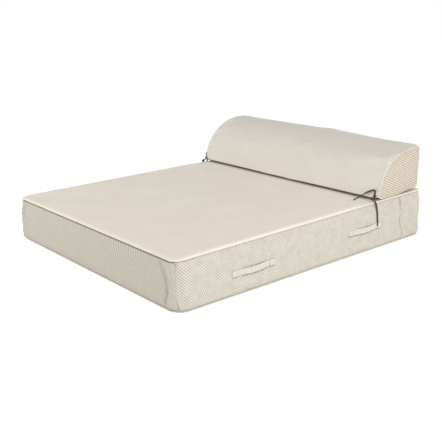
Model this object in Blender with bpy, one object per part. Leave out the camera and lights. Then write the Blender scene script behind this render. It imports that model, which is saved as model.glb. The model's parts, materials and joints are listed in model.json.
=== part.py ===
# Foam sun lounger: a boxed foam mattress with a quarter-round bolster tied on at the head end.
# Metres, +Z up, foot end at -Y, head end at +Y, origin on the floor under the middle of the mattress.

import math

import bmesh
import bpy
from mathutils import Vector

# Clearances
GAP = 0.0003                    # between pieces that touch, and at each seam

# Mattress
MATTRESS_WIDTH = 1.60           # across, from edge to edge
MATTRESS_LENGTH = 2.00
MATTRESS_HEIGHT = 0.285         # at mid length
WEDGE_RISE = 0.030              # how much thicker the head end is than the foot end
CORNER_RADIUS = 0.055
COVER = 0.002                   # cover cloth with its seam allowance
BAND_BULGE = 0.010              # how far the side bands puff out
BASE_INSET = 0.028              # width of the rounded bottom edge
BASE_SEAM = 0.0145              # height of the bottom seam
TOP_SEAM_DROP = 0.013           # the top seam lies this far under the top
TOP_ROLL = 0.030                # width of the rounded top edge
SEAM_DEPTH = 0.005              # how deep the seams draw in
UPRIGHT_SEAM_DEPTH = 0.0017     # the same at the seams between the bands
FLAT_LOW = 0.097                # the band is flat between these two heights
FLAT_HIGH = 0.163
REAR_SEAM_INSET = 0.230         # from the head end to where the side bands meet the rear band
REAR_SEAM_REACH = 0.012         # half width of the dip along a vertical seam
CORNER_STEPS = 6

# Zips
ZIP_HEIGHT = 0.130
ZIP_END_INSET = 0.100           # from the edge of the piece to each end of its zip
ZIP_WINDOW = 0.022              # height of the opening between the two hems
ZIP_SLOT = 0.0014               # between the two halves of the coil
ZIP_TAPE = 0.0012               # tape thickness
ZIP_BEAD_WIDTH = 0.0024
ZIP_BEAD_RISE = 0.0004          # how far the coil stands over the cloth
ZIP_RECESS = 0.003              # the foam gives way this much behind the zip
SLIDER_LENGTH = 0.020
SLIDER_WIDTH = 0.012
SLIDER_WEB = 0.0008
SLIDER_PLATE = 0.0012
SLIDER_DRAFT = 0.0002           # how much thinner the plates are at their rims, on each side
SLIDER_PARK = 0.025             # from the end of the zip to the parked slider
BAIL_LENGTH = 0.009
BAIL_WIDTH = 0.0024
BAIL_BAR = 0.0012
BAIL_ROOM = 0.0028              # clear height under the bail
PULL_LENGTH = 0.026
PULL_WIDTH = 0.0068
PULL_THICKNESS = 0.0016
PULL_BAR = 0.0018
PULL_HOLE_END = 0.0058
PULL_HOLE_WIDTH = 0.0032

# Handles
HANDLE_LENGTH = 0.300
WEBBING_WIDTH = 0.040
WEBBING = 0.002
HANDLE_SEWN = 0.038             # length of each sewn-down end
HANDLE_BOW = 0.014              # how far the middle stands off
HANDLE_SAG = 0.004
HANDLE_FOOT_INSET = 0.507       # from the foot end to the middle of the handle near it
HANDLE_HEAD_INSET = 0.579       # from the head end to the middle of the other
HANDLE_FOOT_Z = 0.121
HANDLE_HEAD_Z = 0.139
HANDLE_STEPS = 12

# Bolster, as wide as the mattress
BOLSTER_BACK_INSET = 0.052      # from the head end of the mattress to its back
BOLSTER_DEPTH = 0.415
BOLSTER_HEIGHT = 0.306
BOLSTER_NOSE = 0.335            # half axis of the quarter ellipse along y
BOLSTER_BACK_ROUND = 0.018
BOLSTER_FRONT_LIFT = 0.010      # height of its front bottom edge
BOLSTER_SOLE_START = 0.060      # from the front edge to where it lies flat
BOLSTER_END_BULGE = 0.013
BOLSTER_ZIP_HEIGHT = 0.105      # above its underside
NOSE_ANGLES = (6, 14, 23, 32, 42, 53, 65, 78, 90)

# Tie tapes
TAPE_WIDTH = 0.012
TAPE = 0.0015
KNOT_RADIUS = 0.010
KNOT_LENGTH = 0.018
KNOT_INSET = 0.005              # knot centre in from the mattress edge
KNOT_STEPS = 10
TIE_SETBACK = 0.033             # from the front of the bolster to the tie line
TAB_WIDTH = 0.016
TAB = 0.0012
# Routes of the tapes on the right side: from the mattress edge, from the tie line, above the mattress top.
LOOP_ROUTE = ((-0.003, 0.001, 0.0208), (-0.001, 0.009, 0.034), (-0.005, 0.020, 0.052), (-0.017, 0.026, 0.060),
              (-0.038, 0.028, 0.055), (-0.066, 0.029, 0.043), (-0.094, 0.029, 0.029), (-0.116, 0.029, 0.016),
              (-0.130, 0.029, 0.005))
LOOP_ACROSS = ((1, 0, 0), (1, 0.4, 0), (0.6, 0.5, 0.6), (0.2, 0.3, 1), (0, 0.3, 1), (0, 0.5, 0.9),
               (0, 0.8, 0.5), (0, 1, 0.2), (0, 1, 0))
END_ROUTE = ((-0.1335, 0.030, 0.0014), (-0.131, 0.014, 0.0014), (-0.125, -0.005, 0.0022),
             (-0.120, -0.025, 0.0014), (-0.112, -0.044, 0.0012))
END_ACROSS = ((1, 0.1, 0), (1, 0.2, 0), (1, 0.3, 0.1), (1, 0.3, 0), (1, 0.4, 0))
TAIL_ROUTE = ((0.0068, 0.000, 0.0100), (0.0098, 0.003, 0.005), (0.0118, 0.010, -0.007), (0.0126, 0.020, -0.026),
              (0.0132, 0.028, -0.055), (0.0146, 0.033, -0.090), (0.0162, 0.036, -0.120), (0.0162, 0.037, -0.148))
TAIL_ACROSS = ((0, 1, 0), (0.3, 1, 0), (0.5, 0.9, 0), (0.3, 1, 0), (0.3, 1, 0), (0.1, 1, 0), (0, 1, 0), (0, 1, 0))
TAB_ROUTE = ((-0.0015, -0.0130), (0.0020, -0.0125), (0.0040, -0.0090), (0.0025, -0.0025), (-0.0030, -0.0002),
             (-0.0120, 0.0007))

# Shares of the sizes above, as (out, up)
BASE_ROLL_SHARES = ((-1.0, 0.0), (-0.45, 0.15), (-0.10, 0.58), (-0.025, 0.80))
TOP_ROLL_SHARES = ((0.0, 0.58), (-0.067, 0.19), (-0.333, 0.038), (-1.0, 0.0))
BAND_SHARES = ((0.2, 0.07), (0.6, 0.38))
BAND_TOP_SHARES = ((0.8, 0.38), (0.3, 0.93))
DRAW_REACH_SHARES = (0.0, 0.14, 0.50, 1.0)
DRAW_SIZE_SHARES = (0.930, 0.972, 0.992, 1.0)
END_BULGE_SHARES = (0.25, 0.78, 1.0)
END_SIZE_SHARES = (0.900, 0.785, 0.50)
BOLSTER_CENTRE_SHARES = (0.55, 0.42)
BACK_ARC_SHARE = 0.3
FRONT_EDGE_SHARE = 0.33
SOLE_CURVE_SHARES = (0.33, 0.33)
SLIDER_TAIL_SHARE = 0.62
SLIDER_WAIST_SHARE = 0.72
SLIDER_NOSE_SHARE = 0.80
PULL_OUTLINE_SHARES = ((0.55, 0.90), (0.93, 1.0), (1.0, 0.62))
KNOT_SHARES = ((-1.0, 0.45), (-0.8, 0.82), (-0.35, 1.0), (0.0, 0.86), (0.35, 1.0), (0.8, 0.82), (1.0, 0.45))

SMOOTH_ANGLE = math.radians(40)
HALF_WIDTH = MATTRESS_WIDTH / 2
ZIP_HALF_LENGTH = HALF_WIDTH - ZIP_END_INSET
HALF_LENGTH = MATTRESS_LENGTH / 2
BAND_FACE = HALF_WIDTH + BAND_BULGE
REAR_SEAM_Y = HALF_LENGTH - REAR_SEAM_INSET
BOLSTER_FRONT = HALF_LENGTH - BOLSTER_BACK_INSET - BOLSTER_DEPTH
TIE_Y = BOLSTER_FRONT - TIE_SETBACK
TIE_Z = MATTRESS_HEIGHT + KNOT_RADIUS + GAP
SOLE_Z = MATTRESS_HEIGHT + GAP
DRAW_REACH = ZIP_END_INSET

CLOTH = (0.86, 0.83, 0.77)
WOVEN = (0.83, 0.80, 0.74)
FOAM = (0.93, 0.90, 0.80)
WEBBING_CREAM = (0.88, 0.85, 0.79)
BROWN = (0.07, 0.05, 0.035)
ZIP_GREY = (0.62, 0.60, 0.55)
NICKEL = (0.66, 0.65, 0.62)


def clear_scene():
    for item in list(bpy.data.objects):
        bpy.data.objects.remove(item, do_unlink=True)


def wedge(point):
    """Raise a point as the mattress grows thicker toward the head end."""
    share = min(point.z / MATTRESS_HEIGHT, 1.0)
    return Vector((point.x, point.y, point.z + WEDGE_RISE * point.y / MATTRESS_LENGTH * share))


def material(name, colour, roughness, metallic=0.0):
    made = bpy.data.materials.new(name)
    made.use_nodes = True
    shader = made.node_tree.nodes["Principled BSDF"]
    shader.inputs["Base Color"].default_value = (*colour, 1.0)
    shader.inputs["Roughness"].default_value = roughness
    shader.inputs["Metallic"].default_value = metallic
    made.diffuse_color = (*colour, 1.0)
    return made


def finish_object(name, mesh_data, colour, roughness, origin, metallic=0.0):
    """Turn a bmesh into a named object whose origin lies on its joint, or at the part's own origin."""
    place = wedge(origin)
    for vertex in mesh_data.verts:
        vertex.co = wedge(vertex.co) - place
    bmesh.ops.recalc_face_normals(mesh_data, faces=mesh_data.faces)
    mesh = bpy.data.meshes.new(name)
    mesh_data.to_mesh(mesh)
    mesh_data.free()
    mesh.shade_smooth()
    mesh.set_sharp_from_angle(angle=SMOOTH_ANGLE)
    made = bpy.data.objects.new(name, mesh)
    made.location = place
    made.data.materials.append(material(name, colour, roughness, metallic))
    bpy.context.scene.collection.objects.link(made)
    return made


def add_quad(mesh_data, a, b, c, d):
    mesh_data.faces.new((a, b, c))
    mesh_data.faces.new((a, c, d))


def add_cap(mesh_data, ring):
    face = mesh_data.faces.new(ring)
    bmesh.ops.triangulate(mesh_data, faces=[face])


def add_loft(data, rings, left_open=()):
    """Faces through closed rings of points and over both ends, but for the cells left open."""
    grid = [[data.verts.new(point) for point in ring] for ring in rings]
    count = len(rings[0])
    for row, (low, high) in enumerate(zip(grid, grid[1:])):
        for column in range(count):
            after = (column + 1) % count
            if (row, column) not in left_open:
                add_quad(data, low[column], low[after], high[after], high[column])
    add_cap(data, grid[0])
    add_cap(data, grid[-1])
    return grid


def loft(rings):
    """A solid through closed rings of points, with a flat face on each end."""
    data = bmesh.new()
    add_loft(data, rings)
    return data


def shell(outer, inner, closed=False, cap_row=None, window=None):
    """A sheet with thickness between two grids of points, with an optional cap and window."""
    data = bmesh.new()
    layers = [[[data.verts.new(point) for point in row] for row in grid] for grid in (outer, inner)]
    rows = len(outer) - 1
    columns = len(outer[0]) - (0 if closed else 1)
    wrap = len(outer[0])

    def kept(row, column):
        if closed:
            column %= wrap
        if not (0 <= row < rows and 0 <= column < columns):
            return False
        if window:
            first_row, last_row, first_column, last_column = window
            return not (first_row <= row < last_row and first_column <= column < last_column)
        return True

    def rim(row_a, column_a, row_b, column_b):
        column_a %= wrap
        column_b %= wrap
        top, under = layers
        add_quad(data, top[row_a][column_a], top[row_b][column_b],
                 under[row_b][column_b], under[row_a][column_a])

    for row in range(rows):
        for column in range(columns):
            if not kept(row, column):
                continue
            after = (column + 1) % wrap
            for layer in layers:
                add_quad(data, layer[row][column], layer[row][after],
                         layer[row + 1][after], layer[row + 1][column])
            if not kept(row - 1, column) and not (cap_row == 0 and row == 0):
                rim(row, column, row, column + 1)
            if not kept(row + 1, column) and not (cap_row == -1 and row == rows - 1):
                rim(row + 1, column, row + 1, column + 1)
            if not kept(row, column - 1):
                rim(row, column, row + 1, column)
            if not kept(row, column + 1):
                rim(row, column + 1, row + 1, column + 1)
    if cap_row is not None:
        for layer in layers:
            add_cap(data, layer[cap_row])
    return data


def grid_normals(grid, end_normals):
    """Outward direction at each point of a grid with closed columns, from the faces round it."""
    rows = len(grid)
    count = len(grid[0])
    faces = []
    for row in range(rows - 1):
        line = []
        for column in range(count):
            after = (column + 1) % count
            across = grid[row + 1][after] - grid[row][column]
            back = grid[row + 1][column] - grid[row][after]
            line.append(across.cross(back).normalized())
        faces.append(line)
    normals = [[end_normals[0]] * count]
    for row in range(1, rows - 1):
        line = []
        for column in range(count):
            around = [faces[r][c] for r in (row - 1, row) for c in (column - 1, column)]
            mean = sum(around, Vector()).normalized()
            reach = sum(mean.dot(face) for face in around) / len(around)
            line.append(mean / reach)
        normals.append(line)
    normals.append([end_normals[1]] * count)
    return normals


def layer_at(grid, normals, depth):
    return [[point - normal * depth for point, normal in zip(row, line)] for row, line in zip(grid, normals)]


def cut_panel(grid, normals, rows, columns):
    """The outer and inner points of one panel, its sewn edges half a gap short of the seams."""
    first_row, last_row = rows
    first_column, last_column = columns
    count = len(grid[0])
    inner_grid = layer_at(grid, normals, COVER)
    picked = [[column % count for column in range(first_column, last_column + 1)]
              for _ in range(first_row, last_row + 1)]
    outer = [[grid[first_row + i][c].copy() for c in line] for i, line in enumerate(picked)]
    inner = [[inner_grid[first_row + i][c].copy() for c in line] for i, line in enumerate(picked)]
    return outer, inner


def pull_back_rows(outer, inner, first, last):
    """Move the first and last row of a panel half a gap away from their seams."""
    for active, edge, near in ((first, 0, 1), (last, -1, -2)):
        if not active:
            continue
        for column in range(len(outer[0])):
            step = (outer[near][column] - outer[edge][column]).normalized() * GAP / 2
            outer[edge][column] += step
            inner[edge][column] += step


def pull_back_columns(outer, inner):
    for row in range(len(outer)):
        for edge, near in ((0, 1), (-1, -2)):
            step = (outer[row][near] - outer[row][edge]).normalized() * GAP / 2
            outer[row][edge] += step
            inner[row][edge] += step


def mattress_profile():
    """Section of the mattress edge from the underside to the top, as (out, up)."""
    top_seam = MATTRESS_HEIGHT - TOP_SEAM_DROP
    lower = FLAT_LOW - BASE_SEAM
    upper = top_seam - FLAT_HIGH
    half_window = ZIP_WINDOW / 2
    points = [(out * BASE_INSET, up * BASE_SEAM) for out, up in BASE_ROLL_SHARES]
    points.append((-SEAM_DEPTH, BASE_SEAM))
    points += [(out * BAND_BULGE, BASE_SEAM + up * lower) for out, up in BAND_SHARES]
    points += [(BAND_BULGE, FLAT_LOW), (BAND_BULGE, ZIP_HEIGHT - half_window)]
    points += [(BAND_BULGE, ZIP_HEIGHT + half_window), (BAND_BULGE, FLAT_HIGH)]
    points += [(out * BAND_BULGE, FLAT_HIGH + up * upper) for out, up in BAND_TOP_SHARES]
    points.append((-SEAM_DEPTH, top_seam))
    points += [(out * TOP_ROLL, MATTRESS_HEIGHT - up * TOP_SEAM_DROP) for out, up in TOP_ROLL_SHARES]
    return points


ROW_BASE_SEAM = len(BASE_ROLL_SHARES)
ROW_ZIP_LOW = ROW_BASE_SEAM + len(BAND_SHARES) + 2
ROW_ZIP_HIGH = ROW_ZIP_LOW + 1
ROW_TOP_SEAM = ROW_ZIP_HIGH + len(BAND_TOP_SHARES) + 2


def mattress_stations():
    """Places round the outline, anticlockwise from the middle of the right foot corner.

    Each is (base point, outward direction, radius, dips into a seam)."""
    stations = []
    x = HALF_WIDTH - CORNER_RADIUS
    y = HALF_LENGTH - CORNER_RADIUS
    corners = ((x, -y, -90), (x, y, 0), (-x, y, 90), (-x, -y, 180))
    side_ys = (REAR_SEAM_Y - REAR_SEAM_REACH, REAR_SEAM_Y, REAR_SEAM_Y + REAR_SEAM_REACH)
    right = [(Vector((HALF_WIDTH, place)), 0, place == REAR_SEAM_Y) for place in side_ys]
    rear = [(Vector((place, HALF_LENGTH)), 90, False) for place in (ZIP_HALF_LENGTH, -ZIP_HALF_LENGTH)]
    left = [(Vector((-HALF_WIDTH, place)), 180, place == REAR_SEAM_Y) for place in reversed(side_ys)]
    for (corner_x, corner_y, start), side in zip(corners, (right, rear, left, [])):
        for step in range(CORNER_STEPS + 1):
            angle = math.radians(start + 90 * step / CORNER_STEPS)
            seam = corner_y < 0 and step == CORNER_STEPS // 2
            direction = Vector((math.cos(angle), math.sin(angle)))
            stations.append((Vector((corner_x, corner_y)), direction, CORNER_RADIUS, seam))
        for base, turn, seam in side:
            angle = math.radians(turn)
            stations.append((base, Vector((math.cos(angle), math.sin(angle))), 0.0, seam))
    first = CORNER_STEPS // 2
    return stations[first:] + stations[:first]


SIDE_STATIONS = 3
REAR_STATIONS = 2
CORNER_POINTS = CORNER_STEPS + 1
HALF_CORNER = CORNER_STEPS // 2
COLUMN_RIGHT_SEAM = HALF_CORNER + 2
COLUMN_ZIP_START = HALF_CORNER + SIDE_STATIONS + CORNER_POINTS + 1
COLUMN_ZIP_END = COLUMN_ZIP_START + 1
COLUMN_LEFT_SEAM = COLUMN_ZIP_END + CORNER_POINTS + 2
COLUMN_LEFT_FOOT = COLUMN_LEFT_SEAM + 2 + HALF_CORNER
COLUMN_END = COLUMN_LEFT_FOOT + CORNER_POINTS


def mattress_grid():
    grid = []
    for row, (out, height) in enumerate(mattress_profile()):
        line = []
        for base, direction, radius, seam in mattress_stations():
            dip = UPRIGHT_SEAM_DEPTH if seam and ROW_BASE_SEAM < row < ROW_TOP_SEAM else 0.0
            place = base + direction * (radius + out - dip)
            line.append(Vector((place.x, place.y, height)))
        grid.append(line)
    return grid


def mattress_foam_core(grid, normals, origin):
    core = layer_at(grid, normals, COVER + GAP)
    for row in (ROW_ZIP_LOW, ROW_ZIP_HIGH):
        for column in (COLUMN_ZIP_START, COLUMN_ZIP_END):
            core[row][column].y -= ZIP_RECESS
    finish_object("mattress_foam_core", loft(core), FOAM, 0.95, origin)


def mattress_cover(grid, normals, origin):
    rows_all = len(grid) - 1
    ring = (0, len(grid[0]) - 1)
    for name, rows, cap in (("mattress_bottom_panel", (0, ROW_BASE_SEAM), 0),
                            ("mattress_top_panel", (ROW_TOP_SEAM, rows_all), -1)):
        outer, inner = cut_panel(grid, normals, rows, ring)
        pull_back_rows(outer, inner, cap == -1, cap == 0)
        finish_object(name, shell(outer, inner, closed=True, cap_row=cap), CLOTH, 0.85, origin)
    band_rows = (ROW_BASE_SEAM, ROW_TOP_SEAM)
    bands = (("mattress_right_band", (0, COLUMN_RIGHT_SEAM), None),
             ("mattress_rear_band", (COLUMN_RIGHT_SEAM, COLUMN_LEFT_SEAM),
              (ROW_ZIP_LOW - ROW_BASE_SEAM, ROW_ZIP_HIGH - ROW_BASE_SEAM,
               COLUMN_ZIP_START - COLUMN_RIGHT_SEAM, COLUMN_ZIP_END - COLUMN_RIGHT_SEAM)),
             ("mattress_left_band", (COLUMN_LEFT_SEAM, COLUMN_LEFT_FOOT), None),
             ("mattress_foot_band", (COLUMN_LEFT_FOOT, COLUMN_END), None))
    for name, columns, window in bands:
        outer, inner = cut_panel(grid, normals, band_rows, columns)
        pull_back_rows(outer, inner, True, True)
        pull_back_columns(outer, inner)
        finish_object(name, shell(outer, inner, window=window), WOVEN, 0.9, origin)


def zip_tape(name, face, height, side, origin):
    """One tape with its half of the coil. Face is the y of the cloth, side +1 above the slot."""
    slot = ZIP_SLOT / 2
    edge = ZIP_WINDOW / 2 - GAP
    under = face - COVER
    section = ((slot, under), (edge, under), (edge, under + ZIP_TAPE),
               (slot + ZIP_BEAD_WIDTH, under + ZIP_TAPE),
               (slot + ZIP_BEAD_WIDTH, face + ZIP_BEAD_RISE), (slot, face + ZIP_BEAD_RISE))
    end = ZIP_HALF_LENGTH - GAP
    rings = [[Vector((x, y, height + side * up)) for up, y in section] for x in (-end, end)]
    finish_object(name, loft(rings), ZIP_GREY, 0.7, origin)


def zip_slider(name, face, height, origin):
    """Two plates joined by a web through the slot, the outer one domed and carrying the bail."""
    outside = face + ZIP_BEAD_RISE + GAP
    inside = face - COVER - GAP
    web = SLIDER_WEB / 2
    bail = BAIL_WIDTH / 2
    crown = outside + SLIDER_PLATE
    foot = BAIL_LENGTH / 2
    leg = foot - BAIL_BAR
    rings = []
    for along, size in ((-SLIDER_LENGTH / 2, SLIDER_TAIL_SHARE), (-foot, SLIDER_WAIST_SHARE),
                        (-leg, SLIDER_WAIST_SHARE), (leg, 1.0), (foot, 1.0),
                        (SLIDER_LENGTH / 2, SLIDER_NOSE_SHARE)):
        half = size * SLIDER_WIDTH / 2
        side = [(half, crown - SLIDER_DRAFT), (half, outside + SLIDER_DRAFT), (web, outside),
                (web, inside), (half, inside - SLIDER_DRAFT), (half, inside - SLIDER_PLATE)]
        section = side + [(-up, y) for up, y in reversed(side)] + [(-bail, crown), (bail, crown)]
        rings.append([Vector((origin.x + along, y, height + up)) for up, y in section])
    data = bmesh.new()
    pad = len(rings[0]) - 2
    grid = add_loft(data, rings, left_open=((1, pad), (3, pad)))
    feet = [grid[row][pad:] for row in (1, 2, 3, 4)]
    add_bail(data, feet, crown + BAIL_ROOM)
    finish_object(name, data, NICKEL, 0.35, origin, metallic=1.0)


def add_bail(data, feet, ceiling):
    """An arch over the plate; each foot is a pair of corners, in order along the slider."""
    def raised(pair, y):
        return [data.verts.new((vertex.co.x, y, vertex.co.z)) for vertex in pair]

    start_out, start_in, end_in, end_out = feet
    roof = [raised(start_out, ceiling + BAIL_BAR), raised(end_out, ceiling + BAIL_BAR)]
    under = [raised(start_in, ceiling), raised(end_in, ceiling)]
    outline = [start_out, roof[0], roof[1], end_out]
    opening = [start_in, under[0], under[1], end_in]
    for line in (outline, opening):
        for near, far in zip(line, line[1:]):
            add_quad(data, near[0], near[1], far[1], far[0])
    for edge in (0, 1):
        for step in range(3):
            add_quad(data, outline[step][edge], outline[step + 1][edge],
                     opening[step + 1][edge], opening[step][edge])


def zip_pull(name, pivot):
    """A tab with a slot; its end bar turns under the bail about an upright axis."""
    half = PULL_WIDTH / 2
    hole = PULL_HOLE_WIDTH / 2
    rows = [(-PULL_BAR / 2, 1.0), (PULL_BAR / 2, 1.0), (PULL_HOLE_END, 1.0)]
    rows += [(along * PULL_LENGTH, size) for along, size in PULL_OUTLINE_SHARES]
    layers = []
    for y in (PULL_THICKNESS / 2, -PULL_THICKNESS / 2):
        layers.append([[pivot + Vector((x, y, z * size)) for z in (-half, -hole, hole, half)]
                       for x, size in rows])
    finish_object(name, shell(layers[0], layers[1], window=(1, 2, 1, 2)), NICKEL, 0.35, pivot, metallic=1.0)


def zip_set(prefix, face, height, origin):
    """Both tapes, the slider and its pull on the upright face at the given y."""
    zip_tape(prefix + "_zip_upper_tape", face, height, 1, origin)
    zip_tape(prefix + "_zip_lower_tape", face, height, -1, origin)
    plate = face + ZIP_BEAD_RISE + GAP + SLIDER_PLATE
    parked = Vector((SLIDER_PARK - ZIP_HALF_LENGTH, plate + BAIL_ROOM / 2, height))
    zip_slider(prefix + "_zip_slider", face, height, parked)
    zip_pull(prefix + "_zip_pull", parked)


def handle(name, side, middle, height, origin):
    """Webbing sewn flat at both ends, its middle bowed out and sagging a little."""
    free = HANDLE_LENGTH / 2 - HANDLE_SEWN
    places = [-HANDLE_LENGTH / 2]
    places += [free * (2 * step / HANDLE_STEPS - 1) for step in range(HANDLE_STEPS + 1)]
    places.append(HANDLE_LENGTH / 2)
    rings = []
    for place in places:
        lift = math.cos(min(abs(place) / free, 1.0) * math.pi / 2) ** 2
        inner = BAND_FACE + GAP + HANDLE_BOW * lift
        folded = WEBBING if abs(place) > free else 0.0
        centre = height - HANDLE_SAG * lift
        low = centre - WEBBING_WIDTH / 2
        high = centre + WEBBING_WIDTH / 2
        section = ((inner, low), (inner + WEBBING + folded, low),
                   (inner + WEBBING + folded, high), (inner, high))
        rings.append([Vector((side * x, middle + place, z)) for x, z in section])
    finish_object(name, loft(rings), WEBBING_CREAM, 0.8, origin)


def bolster_section():
    """Closed section of the bolster as (back from the front edge, up), from the front bottom seam."""
    depth = BOLSTER_DEPTH
    height = BOLSTER_HEIGHT
    rounding = BOLSTER_BACK_ROUND
    half_window = ZIP_WINDOW / 2
    arc = rounding * BACK_ARC_SHARE
    sole_back, sole_up = SOLE_CURVE_SHARES
    points = [(BOLSTER_FRONT_LIFT * FRONT_EDGE_SHARE, BOLSTER_FRONT_LIFT)]
    for angle in NOSE_ANGLES:
        turn = math.radians(angle)
        points.append((BOLSTER_NOSE * (1 - math.cos(turn)), height * math.sin(turn)))
    points += [(depth - rounding, height), (depth - arc, height - arc)]
    points.append((depth, height - rounding))
    points += [(depth, BOLSTER_ZIP_HEIGHT + half_window), (depth, BOLSTER_ZIP_HEIGHT - half_window)]
    points += [(depth, rounding), (depth - arc, arc), (depth - rounding, 0.0)]
    points.append((BOLSTER_SOLE_START, 0.0))
    points.append((BOLSTER_SOLE_START * sole_back, BOLSTER_FRONT_LIFT * sole_up))
    return points


COLUMN_TOP_SEAM = len(NOSE_ANGLES) + 3
COLUMN_BACK_ZIP = COLUMN_TOP_SEAM + 1
COLUMN_BACK_SEAM = COLUMN_BACK_ZIP + 4


def bolster_rows():
    """Places along x with the size of the section there, from the right end cap to the left one."""
    half = HALF_WIDTH
    cap = [(half + share * BOLSTER_END_BULGE, size) for share, size in zip(END_BULGE_SHARES, END_SIZE_SHARES)]
    body = [(half - share * DRAW_REACH, size) for share, size in zip(DRAW_REACH_SHARES, DRAW_SIZE_SHARES)]
    right = list(reversed(cap)) + body
    return right + [(-x, size) for x, size in reversed(right)]


ROW_RIGHT_END = len(END_SIZE_SHARES)
ROW_RIGHT_ZIP = ROW_RIGHT_END + len(DRAW_SIZE_SHARES) - 1
ROW_LEFT_ZIP = ROW_RIGHT_ZIP + 1
ROW_LEFT_END = ROW_LEFT_ZIP + len(DRAW_SIZE_SHARES) - 1


def bolster_point(x, size, back, up):
    """A point of the section, drawn in toward the middle of the section by the size there."""
    middle_back, middle_up = BOLSTER_CENTRE_SHARES
    y = BOLSTER_DEPTH * middle_back + (back - BOLSTER_DEPTH * middle_back) * size
    z = BOLSTER_HEIGHT * middle_up + (up - BOLSTER_HEIGHT * middle_up) * size
    return Vector((x, BOLSTER_FRONT + y, SOLE_Z + z))


def bolster_grid():
    section = bolster_section()
    return [[bolster_point(x, size, back, up) for back, up in section] for x, size in bolster_rows()]


def bolster_foam_core(grid, normals, origin):
    core = layer_at(grid, normals, COVER + GAP)
    for row in (ROW_RIGHT_ZIP, ROW_LEFT_ZIP):
        for column in (COLUMN_BACK_ZIP, COLUMN_BACK_ZIP + 1):
            core[row][column].y -= ZIP_RECESS
    finish_object("bolster_foam_core", loft(core), FOAM, 0.95, origin)


def bolster_cover(grid, normals, origin):
    ring = (0, len(grid[0]) - 1)
    for name, rows, cap in (("bolster_right_end", (0, ROW_RIGHT_END), 0),
                            ("bolster_left_end", (ROW_LEFT_END, len(grid) - 1), -1)):
        outer, inner = cut_panel(grid, normals, rows, ring)
        pull_back_rows(outer, inner, cap == -1, cap == 0)
        finish_object(name, shell(outer, inner, closed=True, cap_row=cap), WOVEN, 0.9, origin)
    rows = (ROW_RIGHT_END, ROW_LEFT_END)
    opening = (ROW_RIGHT_ZIP - ROW_RIGHT_END, ROW_LEFT_ZIP - ROW_RIGHT_END,
               COLUMN_BACK_ZIP - COLUMN_TOP_SEAM, COLUMN_BACK_ZIP + 1 - COLUMN_TOP_SEAM)
    for name, columns, window in (("bolster_curved_panel", (0, COLUMN_TOP_SEAM), None),
                                  ("bolster_back_panel", (COLUMN_TOP_SEAM, COLUMN_BACK_SEAM), opening),
                                  ("bolster_bottom_panel", (COLUMN_BACK_SEAM, len(grid[0])), None)):
        outer, inner = cut_panel(grid, normals, rows, columns)
        pull_back_rows(outer, inner, True, True)
        pull_back_columns(outer, inner)
        finish_object(name, shell(outer, inner, window=window), CLOTH, 0.85, origin)


def smooth_path(points, steps):
    """Points on a smooth curve through the given ones."""
    points = [Vector(point) for point in points]
    ends = [2 * points[0] - points[1]] + points + [2 * points[-1] - points[-2]]
    path = []
    for before, start, end, after in zip(ends, ends[1:], ends[2:], ends[3:]):
        for step in range(steps):
            t = step / steps
            path.append(0.5 * (2 * start + (end - before) * t
                               + (2 * before - 5 * start + 4 * end - after) * t ** 2
                               + (3 * start - before - 3 * end + after) * t ** 3))
    path.append(points[-1])
    return path


def ribbon(route, across, width, thickness, steps=2):
    """A flat tape along a route, its width turned the way that the second list says."""
    path = smooth_path(route, steps)
    turns = smooth_path(across, steps)
    rings = []
    for index, (point, turn) in enumerate(zip(path, turns)):
        along = (path[min(index + 1, len(path) - 1)] - path[max(index - 1, 0)]).normalized()
        side = (turn - along * turn.dot(along)).normalized() * width / 2
        up = along.cross(side).normalized() * thickness / 2
        rings.append([point + side + up, point - side + up, point - side - up, point + side - up])
    return loft(rings)


def tie_route(side, route):
    return [Vector((side * (HALF_WIDTH + out), TIE_Y + y, MATTRESS_HEIGHT + up)) for out, y, up in route]


def tie_across(side, across):
    return [Vector((side * x, y, z)) for x, y, z in across]


def tie_knot(name, side, origin):
    """The knot, round about the tie line, on the edge of the mattress top."""
    middle = Vector((side * (HALF_WIDTH - KNOT_INSET), TIE_Y, TIE_Z))
    rings = []
    for along, size in KNOT_SHARES:
        ring = []
        for step in range(KNOT_STEPS):
            angle = math.tau * step / KNOT_STEPS
            reach = Vector((0, math.cos(angle), math.sin(angle))) * size * KNOT_RADIUS
            ring.append(middle + Vector((along * KNOT_LENGTH / 2, 0, 0)) + reach)
        rings.append(ring)
    finish_object(name, loft(rings), BROWN, 0.85, origin)


def tie_tab(name, side, origin):
    """A tab of cover cloth out of the top seam, folded over the edge in front of the knot."""
    y = TIE_Y - KNOT_RADIUS - GAP - TAB_WIDTH / 2
    route = [Vector((side * (HALF_WIDTH + out), y, MATTRESS_HEIGHT + up)) for out, up in TAB_ROUTE]
    across = [Vector((0, 1, 0))] * len(route)
    finish_object(name, ribbon(route, across, TAB_WIDTH, TAB), CLOTH, 0.85, origin)


def bolster_tie_tape(name, side, origin):
    """The tape from the front corner of the bolster to the knot."""
    x = HALF_WIDTH - DRAW_REACH_SHARES[1] * DRAW_REACH
    back, up = bolster_section()[1]
    sewn = bolster_point(side * x, DRAW_SIZE_SHARES[1], back, up) - Vector((0, GAP + TAPE / 2, 0))
    tied = Vector((side * (HALF_WIDTH - KNOT_INSET), TIE_Y + KNOT_RADIUS + GAP + TAPE / 2, TIE_Z))
    middle = (sewn + tied) / 2 - Vector((0, 0, TAPE))
    across = [Vector((1, 0, 0))] * 3
    finish_object(name, ribbon([tied, middle, sewn], across, TAPE_WIDTH, TAPE), BROWN, 0.85, origin)


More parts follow.
